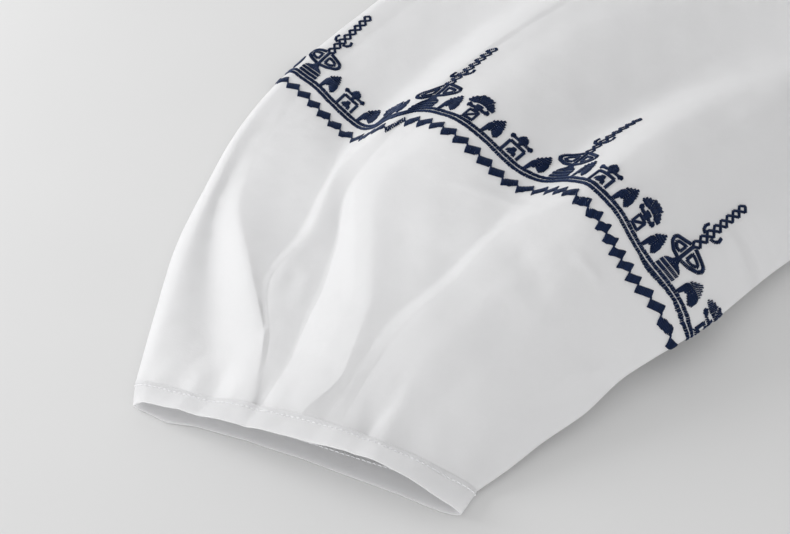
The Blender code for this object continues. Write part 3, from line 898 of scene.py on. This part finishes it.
def palmette():
    """A small latticed box that carries a broad fan of three lobes."""
    parts = [running_stitches([(-3.4, -0.4), (-2.4, 0.9)])]
    parts.append(satin_stitches([(-2.5, 1.1), (2.5, 1.1), (2.5, 5.6), (-2.5, 5.6)], 1.0, True))
    parts.append(satin_stitches([(-2.0, 1.6), (2.0, 5.1)], 0.95))
    parts.append(fill_stitches([(-1.2, 6.0), (1.2, 6.0), (1.9, 9.6), (-1.9, 9.6)], 0))
    for arm in both_sides([(0.9, 8.0), (2.9, 7.3), (4.8, 7.9)]):
        parts.append(satin_stitches(arm, 1.3))
        parts.append(fill_stitches(circle(*arm[-1], 1.2), 20))
    for first, last, reach in ((2, 60, 5.0), (64, 116, 5.9), (120, 178, 5.4)):
        turn = np.radians(np.linspace(first, last, 8))
        ripple = reach + 0.28 * np.cos(np.arange(8) * math.pi)
        outer = np.column_stack([1.32 * ripple * np.cos(turn), 9.6 + ripple * np.sin(turn)])
        inner = np.column_stack([3.4 * np.cos(turn[::-1]), 9.6 + 0.9 * np.sin(turn[::-1])])
        parts.append(fill_stitches(np.vstack([outer, inner]), 84, longest=3.6))
    return parts


def urn():
    """Two bars and a foot, two looped leaves, and a long stem of open diamonds."""
    parts = [satin_stitches([(-5.2, y), (5.2, y)], 1.3) for y in (1.4, 3.4)]
    foot = [(-5.0, 4.6), (5.0, 4.6), (4.2, 5.7), (2.0, 6.8), (0.9, 8.6)]
    foot += [(-0.9, 8.6), (-2.0, 6.8), (-4.2, 5.7)]
    parts.append(fill_stitches(foot, 0))
    parts.append(satin_stitches([(0, 8.6), (0, 17.6)], 1.3))
    leaf = [(0.7, 8.9), (4.6, 9.7), (8.2, 11.8), (9.2, 13.6), (8.4, 15.2), (5.6, 16.2), (1.4, 17.6)]
    parts += [satin_stitches(side, 1.4) for side in both_sides(leaf)]
    loop = [(2.1, 11.3), (4.6, 11.5), (6.7, 13.0), (6.2, 14.0), (4.2, 14.7), (2.1, 15.2)]
    parts += [satin_stitches(side, 1.1, True) for side in both_sides(loop)]
    for step in range(DIAMONDS):
        base = 17.4 + step * DIAMOND_RISE
        middle, top = base + DIAMOND_RISE / 2, base + DIAMOND_RISE
        corners = [(0, base), (DIAMOND_HALF, middle), (0, top), (-DIAMOND_HALF, middle)]
        parts += [satin_stitches([corners[k], corners[(k + 1) % 4]], 0.85) for k in range(4)]
    curl = [(1.5, 25.6), (3.4, 26.3), (4.4, 28.0), (3.8, 30.0)]
    return parts + [satin_stitches(side, 1.1) for side in both_sides(curl)]


def repeats(ends, margin, pitch):
    """Numbers of the repeats that fit between the two ends of the pattern."""
    return range(math.ceil((ends[0] + margin) / pitch), math.floor((ends[1] - margin) / pitch) + 1)


def block_row(ends):
    """The zigzag of slanting blocks below the double line, joined corner to corner."""
    half, deep = BLOCK_SIZE[0] / 2, BLOCK_SIZE[1] / 2
    corners = turned([(-half, -deep), (half, -deep), (half, deep), (-half, deep)], BLOCK_TURN)
    block = fill_stitches(corners, BLOCK_TURN + 90)
    numbers = repeats(ends, BLOCK_MARGIN, BLOCK_PITCH)
    parts = []
    for number in numbers:
        x = number * BLOCK_PITCH
        parts.append(block + (x, BLOCK_LEVEL))
        if number < numbers[-1]:
            here, there = corners[1] + (x, BLOCK_LEVEL), corners[3] + (x + BLOCK_PITCH, BLOCK_LEVEL)
            parts.append(running_stitches([here, there]))
    return np.concatenate(parts)


def line_pair(border, ends):
    """The double line's stitches, evenly spaced on the cloth and a hair uneven in reach."""
    chance = np.random.default_rng(LINE_SEED)
    worked = np.linspace(ends[0] + LINE_GAP, ends[1] - LINE_GAP, 2000)
    real = border.eased(worked)
    count = int((real[-1] - real[0]) / LINE_PITCH)
    spots = np.interp(np.linspace(real[0], real[-1], count), real, worked)
    parts = []
    for offset in LINE_OFFSETS:
        low = np.column_stack([spots - LINE_LEAN, np.full(count, offset - LINE_WIDTH / 2)])
        high = np.column_stack([spots + LINE_LEAN, np.full(count, offset + LINE_WIDTH / 2)])
        parts.append(np.stack([low, high], axis=1) + chance.normal(0, LINE_UNEVEN, (count, 2, 2)))
    return np.concatenate(parts)


def motif_row(ends):
    """The row of motifs above the line, from the sleeve's seam back to it."""
    shapes = {"bud": bud(), "hut": hut(), "palmette": palmette(), "urn": urn()}
    parts = []
    for number in repeats(ends, MOTIF_MARGIN, MOTIF_PITCH):
        shift = (number * MOTIF_PITCH, LINE_OFFSETS[1] + LINE_WIDTH / 2)
        kind = "bud" if number % 2 else MOTIF_ORDER[number // 2 % len(MOTIF_ORDER)]
        parts += [part + shift for part in shapes[kind] if len(part)]
    return np.concatenate(parts)


def stitch_lines(border, stitches):
    """Five points in space for each stitch, arched over the cloth with both ends sunk in it."""
    share, rise = np.array(STITCH_POINTS).T
    spots = stitches[:, None, 0] * (1 - share[:, None]) + stitches[:, None, 1] * share[:, None]
    row, column = border.read(spots[..., 0], spots[..., 1])
    return border.surface.at(row, column) + border.surface.normal(row, column) * rise[:, None] * MM


def sewn_lines(points, normals, closed):
    """Straight stitches of sewing thread along a line in space."""
    if closed:
        points, normals = np.vstack([points, points[:1]]), np.vstack([normals, normals[:1]])
    run = run_along(points)
    count = int(run[-1] / SEWING_PITCH)
    share, rise = np.array(SEWING_POINTS).T
    at = (np.arange(count)[:, None] + 0.5) * run[-1] / count + (share - 0.5) * SEWING_LENGTH
    return read_line(at, run, points) + read_line(at, run, normals) * rise[:, None] * STITCH_RISE


def thread_tree():
    """Geometry nodes that turn chains of edges into round threads with closed ends."""
    tree = bpy.data.node_groups.new("thread work", "GeometryNodeTree")
    given_sockets = {"Geometry": "Geometry", "Thread Width": "Float", "Sides": "Int", "Thread": "Material"}
    for name, kind in given_sockets.items():
        tree.interface.new_socket(name, in_out="INPUT", socket_type="NodeSocket" + kind)
    tree.interface.new_socket("Geometry", in_out="OUTPUT", socket_type="NodeSocketGeometry")
    nodes = Nodes(tree)
    given = nodes.add("NodeGroupInput")
    lines = nodes.add("GeometryNodeMeshToCurve", inputs={"Mesh": given.outputs["Geometry"]})
    half = Value(nodes, given.outputs["Thread Width"]) * 0.5
    section = nodes.add(
        "GeometryNodeCurvePrimitiveCircle",
        {"mode": "RADIUS"},
        {"Resolution": given.outputs["Sides"], "Radius": half.socket},
    )
    line, round_section = lines.outputs["Curve"], section.outputs["Curve"]
    threads = nodes.add(
        "GeometryNodeCurveToMesh",
        inputs={"Curve": line, "Profile Curve": round_section, "Fill Caps": True},
    )
    smooth = nodes.add("GeometryNodeSetShadeSmooth", inputs={"Geometry": threads.outputs["Mesh"]})
    real = nodes.add("GeometryNodeRealizeInstances", inputs={"Geometry": smooth.outputs["Geometry"]})
    finish = nodes.add(
        "GeometryNodeSetMaterial",
        inputs={"Geometry": real.outputs["Geometry"], "Material": given.outputs["Thread"]},
    )
    nodes.add("NodeGroupOutput", inputs={"Geometry": finish.outputs["Geometry"]})
    return tree


def set_inputs(modifier, tree, values):
    """Sets a modifier's inputs by their sockets' identifiers."""
    for item in tree.interface.items_tree:
        if item.in_out == "INPUT" and item.name in values:
            modifier[item.identifier] = values[item.name]


def thread_piece(name, lines, width, material, tree):
    """One mesh of threads, each along its own row of points."""
    count, length = lines.shape[:2]
    start = (np.arange(count)[:, None] * length + np.arange(length - 1)).ravel()
    mesh = bpy.data.meshes.new(name + "_lines")
    mesh.from_pydata(lines.reshape(-1, 3).tolist(), np.column_stack([start, start + 1]).tolist(), [])
    shade = mesh.attributes.new("shade", "FLOAT", "POINT")
    tone = np.random.default_rng(len(name)).random(count)
    shade.data.foreach_set("value", np.repeat(tone, length).astype(np.float32))
    carrier = put_in_scene(name + "_lines", mesh)
    modifier = carrier.modifiers.new("threads", "NODES")
    modifier.node_group = tree
    set_inputs(modifier, tree, {"Thread Width": width, "Sides": THREAD_SIDES, "Thread": material})
    bpy.context.view_layer.update()
    evaluated = carrier.evaluated_get(bpy.context.evaluated_depsgraph_get())
    made = bpy.data.meshes.new_from_object(evaluated)
    made.name = name
    carrier.modifiers.remove(modifier)
    bpy.data.objects.remove(carrier)
    bpy.data.meshes.remove(mesh)
    return put_in_scene(name, made)


def new_material(name):
    """An empty material and the maker of its nodes."""
    material = bpy.data.materials.new(name)
    material.use_nodes = True
    material.node_tree.nodes.clear()
    return material, Nodes(material.node_tree)


def between(nodes, factor, first, second):
    """A colour between two colours."""
    mix = nodes.add("ShaderNodeMix", {"data_type": "RGBA"}, {0: factor, 6: (*first, 1), 7: (*second, 1)})
    return mix.outputs[2]


def noise(nodes, place, scale, detail=2.0):
    """Soft random patches, 0 to 1."""
    made = nodes.add("ShaderNodeTexNoise", {}, {"Vector": place, "Scale": scale, "Detail": detail})
    return Value(nodes, made.outputs["Fac"])


def cotton(name, passing):
    """White plain-woven cotton: crossing threads, faint slubs, and light passing through."""
    material, nodes = new_material(name)
    weave = nodes.add("ShaderNodeUVMap", {"uv_map": "weave"}).outputs["UV"]
    place = nodes.add("ShaderNodeTexCoord").outputs["Object"]
    split = nodes.add("ShaderNodeSeparateXYZ", inputs={"Vector": weave})
    turns = 2 * math.pi / WEAVE_PITCH
    across = (Value(nodes, split.outputs["X"]) * turns).sine()
    along = (Value(nodes, split.outputs["Y"]) * turns).sine()
    crossing = across * along
    slub = noise(nodes, place, 260.0, 3.0)
    drift = noise(nodes, place, 28.0)
    tone = drift * 0.7 + crossing * 0.12 + 0.15
    height = crossing * WEAVE_BUMP + slub * SLUB_BUMP
    bump = nodes.add("ShaderNodeBump", {}, {"Height": height, "Distance": 1.0, "Strength": 1.0})
    cloth = nodes.add(
        "ShaderNodeBsdfPrincipled",
        {},
        {
            "Base Color": between(nodes, tone, *COTTON),
            "Roughness": 0.82 + slub * 0.1,
            "Normal": bump.outputs["Normal"],
            "Sheen Weight": 0.12,
            "Sheen Roughness": 0.5,
            "Specular IOR Level": 0.3,
        },
    )
    through = nodes.add("ShaderNodeBsdfTranslucent", {}, {"Color": (0.96, 0.96, 0.965, 1)})
    mixed = nodes.add(
        "ShaderNodeMixShader", {}, {0: passing, 1: cloth.outputs["BSDF"], 2: through.outputs["BSDF"]}
    )
    nodes.add("ShaderNodeOutputMaterial", {}, {"Surface": mixed.outputs["Shader"]})
    return material


def thread(name, tones, roughness, glow):
    """Silky thread, its tone a little different from stitch to stitch."""
    material, nodes = new_material(name)
    shade = Value(nodes, nodes.add("ShaderNodeAttribute", {"attribute_name": "shade"}).outputs["Fac"])
    place = nodes.add("ShaderNodeTexCoord").outputs["Object"]
    fibre = noise(nodes, place, 2600.0)
    bump = nodes.add("ShaderNodeBump", {}, {"Height": fibre, "Distance": 0.00006, "Strength": 1.0})
    silk = nodes.add(
        "ShaderNodeBsdfPrincipled",
        {},
        {
            "Base Color": between(nodes, shade * 0.7 + fibre * 0.3, *tones),
            "Roughness": roughness + fibre * 0.1,
            "Normal": bump.outputs["Normal"],
            "Specular IOR Level": 0.3,
            "Specular Tint": (*glow, 1),
            "Sheen Weight": 0.3,
            "Sheen Roughness": 0.35,
            "Sheen Tint": (*glow, 1),
        },
    )
    nodes.add("ShaderNodeOutputMaterial", {}, {"Surface": silk.outputs["BSDF"]})
    return material


def floor_material():
    """Pale matt paint with faint patches."""
    material, nodes = new_material("pale floor")
    place = nodes.add("ShaderNodeTexCoord").outputs["Object"]
    grain = noise(nodes, place, 14.0)
    paint = nodes.add(
        "ShaderNodeBsdfPrincipled",
        {},
        {"Base Color": between(nodes, grain, *FLOOR_TONES), "Roughness": 0.7},
    )
    nodes.add("ShaderNodeOutputMaterial", {}, {"Surface": paint.outputs["BSDF"]})
    return material


def aim(thing, target):
    """Turns a camera or lamp to look at a point."""
    thing.rotation_euler = (target - thing.location).to_track_quat("-Z", "Y").to_euler()


def camera_frame():
    """The camera's sideways and forward directions on the surface."""
    turn = math.radians(CAMERA_TURN)
    return Vector((math.cos(turn), math.sin(turn), 0)), Vector((-math.sin(turn), math.cos(turn), 0))


def add_camera():
    """The camera at the photograph's angle and frame."""
    _, ahead = camera_frame()
    rise = math.radians(CAMERA_RISE)
    camera = bpy.data.cameras.new("camera")
    camera.lens = CAMERA_LENS
    camera.sensor_width = CAMERA_SENSOR
    camera.clip_start = CAMERA_NEAR
    stand = put_in_scene("camera", camera)
    way = Vector((0, 0, math.sin(rise))) - ahead * math.cos(rise)
    stand.location = CAMERA_TARGET + way * CAMERA_DISTANCE
    aim(stand, CAMERA_TARGET)
    bpy.context.scene.camera = stand


def add_light(name, size, power, turn, rise, distance):
    """A round soft light, its turn measured from the camera's right."""
    right, ahead = camera_frame()
    turn, rise = math.radians(turn), math.radians(rise)
    level = right * math.cos(turn) + ahead * math.sin(turn)
    way = level * math.cos(rise) + Vector((0, 0, math.sin(rise)))
    light = bpy.data.lights.new(name, "AREA")
    light.shape = "DISK"
    light.size = size
    light.energy = power
    light.spread = math.radians(LIGHT_SPREAD)
    lamp = put_in_scene(name, light)
    lamp.location = CAMERA_TARGET + way * distance
    aim(lamp, CAMERA_TARGET)


def add_surroundings():
    """A pale floor, a bright even room and two lamps."""
    mesh = bpy.data.meshes.new("floor")
    corners = [(x * FLOOR_HALF, y * FLOOR_HALF, 0) for x, y in ((-1, -1), (1, -1), (1, 1), (-1, 1))]
    mesh.from_pydata(corners, [], [(0, 1, 2, 3)])
    mesh.materials.append(floor_material())
    floor = put_in_scene("floor", mesh)
    floor.location.z = -FLOOR_BELOW
    world = bpy.data.worlds.new("soft room")
    world.use_nodes = True
    room = world.node_tree.nodes["Background"].inputs
    room["Color"].default_value = (1, 1, 1, 1)
    room["Strength"].default_value = ROOM_LIGHT
    bpy.context.scene.world = world
    bpy.context.scene.view_settings.view_transform = "Standard"
    for lamp in LAMPS:
        add_light(*lamp)


def side_half(y):
    """Half the body's width at this height: side seam below the armpit, armhole above."""
    return np.interp(y, [HEM_Y, ARMPIT[1], SHOULDER[1]], [HEM_HALF, ARMPIT[0], SHOULDER[0]])


def shoulder_y(x):
    """The shoulder seam's height, with the neck point at NECK_HALF."""
    return np.interp(np.abs(x), [NECK_HALF, SHOULDER[0]], [NECK_Y, SHOULDER[1]])


def hem_step(y):
    """The turned hem is one cloth thicker below its line of stitches."""
    return HEM_STEP * ease((HEM_Y + HEM_TURN - y) / MM)


def back_top(x, y):
    """Top of the back, which lies level."""
    return np.full_like(x, WALL)


def front_top(x, y):
    """Top of the front: low at the side and shoulder seams, open at armholes, neck and hem."""
    half = side_half(y)
    out = np.clip(np.abs(x) / half, 0, 1)
    share = np.clip((SHOULDER[1] - y) / (SHOULDER[1] - ARMPIT[1]), 0, 1)
    armhole = np.maximum(armhole_height(share) - FRONT_BASE, 0) * (share < 1)
    folds = crease_rise(FRONT_CREASES, x, y) + crinkle_rise(x, y)
    inside = (BODY_LOFT + folds) * ease((shoulder_y(x) - y) / SHOULDER_RUN)
    edge = out**SIDE_FALL
    return FRONT_BASE + inside * (1 - edge) + armhole * edge + hem_step(y)


def body_grid(neck_drop, fineness):
    """Plan points of a body panel: rows from hem to shoulder, columns across."""
    to_armpit_rows, above_rows = int(ROWS_TO_ARMPIT * fineness), int(ROWS_ABOVE * fineness)
    turn = np.linspace(-np.pi / 2, np.pi / 2, NECK_COLUMNS + 1)
    neck_x, neck_y = NECK_HALF * np.sin(turn), NECK_Y - neck_drop * np.cos(turn)
    shoulder_x = np.linspace(NECK_HALF, SHOULDER[0], SHOULDER_COLUMNS + 1)[1:]
    top_x = np.concatenate([-shoulder_x[::-1], neck_x, shoulder_x])
    top_y = np.concatenate([shoulder_y(shoulder_x)[::-1], neck_y, shoulder_y(shoulder_x)])
    to_armpit = (ARMPIT[1] - HEM_Y) / (SHOULDER[1] - HEM_Y)
    rows = np.concatenate(
        [np.linspace(0, to_armpit, to_armpit_rows + 1), np.linspace(to_armpit, 1, above_rows + 1)[1:]]
    )
    hem = (HEM_TURN + np.array(HEM_ROWS) * MM) / (SHOULDER[1] - HEM_Y)
    rows = np.unique(np.concatenate([rows, hem]))
    y = HEM_Y + np.outer(rows, top_y - HEM_Y)
    x = np.outer(np.ones(len(rows)), top_x / SHOULDER[0]) * side_half(y)
    return x, y


def panel(name, tops, bottoms, material):
    """A flat piece of cloth from two grids of points."""
    rows, columns = tops.shape[:2]
    points = np.concatenate([tops.reshape(-1, 3), bottoms.reshape(-1, 3)])
    under = rows * columns
    rim = list(range(columns))
    rim += [i * columns + columns - 1 for i in range(1, rows)]
    rim += [(rows - 1) * columns + j for j in range(columns - 2, -1, -1)]
    rim += [i * columns for i in range(rows - 2, 0, -1)]
    rim = np.array(rim)
    ahead = np.roll(rim, -1)
    faces = [
        grid_faces(rows, columns, 0, False),
        grid_faces(rows, columns, under, False)[:, ::-1],
        np.column_stack([ahead, rim, under + rim, under + ahead]),
    ]
    piece = add_mesh(name, points, np.concatenate(faces), material)
    give_weave_map(piece, points[:, :2])
    return piece


def body_panel(name, neck_drop, height, fineness, material):
    """The front or the back, from the height of its top at each place."""
    x, y = body_grid(neck_drop, fineness)
    top = height(x, y)
    return panel(name, np.stack([x, y, top], axis=-1), np.stack([x, y, top - WALL], axis=-1), material)


def neck_sections():
    """The neck binding's section all the way round: across the front, over the shoulder,
    along the back and over the other shoulder. Upper points first, then lower ones."""
    outer_half = NECK_HALF - SEAM_GAP
    turn_height = (FRONT_BASE + BAND_THICK) / 2
    across = np.linspace(0, 1, BAND_STEPS)
    crown = np.sqrt(np.sin(np.pi * across).clip(0)) * BAND_CROWN
    crown -= BAND_DENT * (across == across[BAND_STITCH_STEP])

    def closed(line, upper, lower):
        rim = np.column_stack([line, upper])
        underside = np.column_stack([line, np.full(BAND_STEPS, lower)])
        return np.vstack([rim, underside[::-1]])

    def flat(angle, drop, back):
        out = np.array([outer_half * np.sin(angle), NECK_Y - (drop - SEAM_GAP) * np.cos(angle)])
        inner_half, inner_drop = outer_half - NECK_BAND_WIDTH, drop - SEAM_GAP - NECK_BAND_WIDTH
        into = np.array([inner_half * np.sin(angle), NECK_Y - inner_drop * np.cos(angle)])
        line = out + np.outer(across, into - out)
        top = BAND_THICK if back else float(front_top(out[:1], out[1:])[0])
        return closed(line, top + crown, top - BAND_THICK)

    def folded(sign, angle):
        x = sign * (outer_half - across * NECK_BAND_WIDTH)
        upper, lower = (
            np.column_stack([x, NECK_Y + radius * np.sin(angle), turn_height + radius * np.cos(angle)])
            for radius in (turn_height + crown, np.full(BAND_STEPS, turn_height - BAND_THICK))
        )
        return np.vstack([upper, lower[::-1]])

    sweep = np.linspace(-np.pi / 2, np.pi / 2, NECK_COLUMNS + 1)
    over = np.linspace(0, np.pi, BAND_TURNS)[1:-1]
    sections = [flat(angle, FRONT_NECK_DROP, False) for angle in sweep]
    sections += [folded(1, angle) for angle in over]
    sections += [flat(angle, BACK_NECK_DROP, True) for angle in sweep[::-1]]
    sections += [folded(-1, angle) for angle in over[::-1]]
    return np.array(sections)


def neck_band(cloths, threads, tree):
    """The narrow binding round the neck and its line of stitches."""
    sections = neck_sections()
    count, around = sections.shape[:2]
    faces = grid_faces(count, around, 0, True, closed_rows=True)
    piece = add_mesh("neck_binding", sections.reshape(-1, 3), faces, cloths["binding"])
    middle = sections.mean(axis=1)
    run = run_along(middle)
    spots = np.column_stack([np.repeat(run, around), np.tile(np.arange(around) * MM, count)])
    give_weave_map(piece, spots)
    line = sections[:, BAND_STITCH_STEP]
    up = unit(line - sections[:, around - 1 - BAND_STITCH_STEP])
    chains = sewn_lines(line, up, True)
    stitches = thread_piece("neck_stitches", chains, SEWING_THREAD, threads["white"], tree)
    return settle(piece, "neck_band"), settle(stitches, None)


def body_stitches(threads, tree):
    """The hem's line of stitches on both panels, and one beside each armhole."""

    def sewn(x, y, height):
        spots = np.column_stack([x, y, height(x, y)])
        slope_x = (height(x + MM, y) - height(x - MM, y)) / (2 * MM)
        slope_y = (height(x, y + MM) - height(x, y - MM)) / (2 * MM)
        normals = unit(np.column_stack([-slope_x, -slope_y, np.ones_like(x)]))
        return sewn_lines(spots, normals, False)

    half = HEM_HALF - HEM_STITCHES_FROM_SIDE
    x = np.linspace(-half, half, 400)
    y = np.full_like(x, HEM_Y + HEM_TURN)
    chains = [sewn(x, y, front_top), sewn(x, y, back_top)]
    low, high = ARMHOLE_STITCHES_SHORT
    y = np.linspace(ARMPIT[1] + low, SHOULDER[1] - high, 200)
    for sign in (-1, 1):
        chains.append(sewn(sign * (side_half(y) - ARMHOLE_STITCHES_IN), y, front_top))
    made = thread_piece("body_stitches", np.concatenate(chains), SEWING_THREAD, threads["white"], tree)
    return settle(made, None)


def cuff_rings(other_sleeve):
    """Rings of the narrow double band, from just over the sleeve's end to its open mouth."""
    seam_top, seam_under, _ = edges_at(0.0)
    mouth_top, mouth_under = (np.array(end) * MM for end in CUFF_ENDS)
    depth = np.linalg.norm((seam_top + seam_under - mouth_top - mouth_under) / 2)
    shares, seam_heights = folds_at(0.0, other_sleeve)
    mouth = np.array(CUFF_MOUTH)
    mouth_heights = fair_curve(mouth[:, 0], mouth[:, 1], shares) * MM
    width = np.linalg.norm(seam_under - seam_top)
    steps = np.maximum(np.ceil(np.diff(edge_marks(shares, width)) * width / CUFF_STEP), 1).astype(int)

    def band_rise(x, y):
        return crinkle_rise(x, y) + 0.5 * gather_rise(x, y, other_sleeve)

    rings = []
    for out, stand in CUFF_LINES:
        share = out * MM / depth
        heights = seam_heights * (1 - share) + mouth_heights * share + stand * MM
        top = seam_top * (1 - share) + mouth_top * share
        under = seam_under * (1 - share) + mouth_under * share
        rings.append(ring(top, under, 0.0, shares, heights, steps, band_rise))
    outer, inner, ring_shares = (np.array([one[part] for one in rings]) for part in range(3))
    upper_count = upper_points(outer)
    reach = np.interp(ring_shares[0, upper_count:], *np.array(LOWER_EDGE).T) * MM
    outwards = (mouth_top + mouth_under - seam_top - seam_under) / 2 / depth
    part_way = np.array([max(out * MM / depth, 0) for out, _ in CUFF_LINES])
    for points in (outer, inner):
        points[:, upper_count:, :2] += (part_way[:, None] * reach)[..., None] * outwards
    return outer, inner


def settle(piece, node):
    """The piece stands for its solid and moves with the top."""
    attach(piece, "root")
    if node:
        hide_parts(node)
    return piece


def make_sleeve(side, other_sleeve, cloths, threads, tree):
    """One sleeve's cloth and the three parts of its border."""
    outer, inner, shares, places = sleeve_rings(other_sleeve)
    border = BorderMap(ClothSurface(outer), shares, places, upper_points(outer))
    piece = tube(f"sleeve_cloth_{side}", outer, inner, other_sleeve, cloths["sleeve"])
    pieces = [settle(piece, f"sleeve_{side}")]
    ends = border.worked_ends()
    work = {"lines": line_pair(border, ends), "blocks": block_row(ends), "motifs": motif_row(ends)}
    for name, stitches in work.items():
        lines = mirrored(stitch_lines(border, stitches), other_sleeve)
        made = thread_piece(f"border_{name}_{side}", lines, THREAD, threads["navy"], tree)
        pieces.append(settle(made, None))
    return pieces


def make_cuff(side, other_sleeve, cloths, threads, tree):
    """One cuff's band and its topstitching, outside and inside."""
    outer, inner = cuff_rings(other_sleeve)
    piece = tube(f"cuff_band_{side}", outer, inner, other_sleeve, cloths["binding"])
    settle(piece, f"cuff_{side}")
    lines_out = [out * MM for out, _ in CUFF_LINES]
    stitched_row = np.interp(TOPSTITCH, lines_out, np.arange(len(lines_out)))
    chains = []
    for points, way in ((outer, 1), (inner, -1)):
        surface = ClothSurface(points)
        columns = np.arange(0, surface.columns, SEWING_LINE_STEP)
        row = np.full(len(columns), stitched_row)
        chains.append(sewn_lines(surface.at(row, columns), surface.normal(row, columns) * way, True))
    lines = mirrored(np.concatenate(chains), other_sleeve)
    made = thread_piece(f"cuff_stitches_{side}", lines, SEWING_THREAD, threads["white"], tree)
    return [piece, settle(made, None)]


def main():
    """The whole top on its floor, each piece moving with the top in place of its solid."""
    cloths = {
        "body": cotton("body cotton", SINGLE_PASSES),
        "sleeve": cotton("sleeve cotton", SINGLE_PASSES),
        "binding": cotton("folded binding", FOLDED_PASSES),
    }
    threads = {
        "navy": thread("navy thread", NAVY, 0.45, NAVY_GLOW),
        "white": thread("white thread", WHITE, 0.6, WHITE_GLOW),
    }
    tree = thread_tree()
    front = body_panel("front_cloth", FRONT_NECK_DROP, front_top, 1, cloths["body"])
    settle(front, "front")
    back = body_panel("back_cloth", BACK_NECK_DROP, back_top, BACK_FINENESS, cloths["body"])
    settle(back, "back")
    band, band_stitches = neck_band(cloths, threads, tree)
    sewing = body_stitches(threads, tree)
    made = {}
    for side, other_sleeve in (("right", False), ("left", True)):
        made[side] = make_sleeve(side, other_sleeve, cloths, threads, tree)
        made[side] += make_cuff(side, other_sleeve, cloths, threads, tree)
    add_surroundings()
    add_camera()


main()
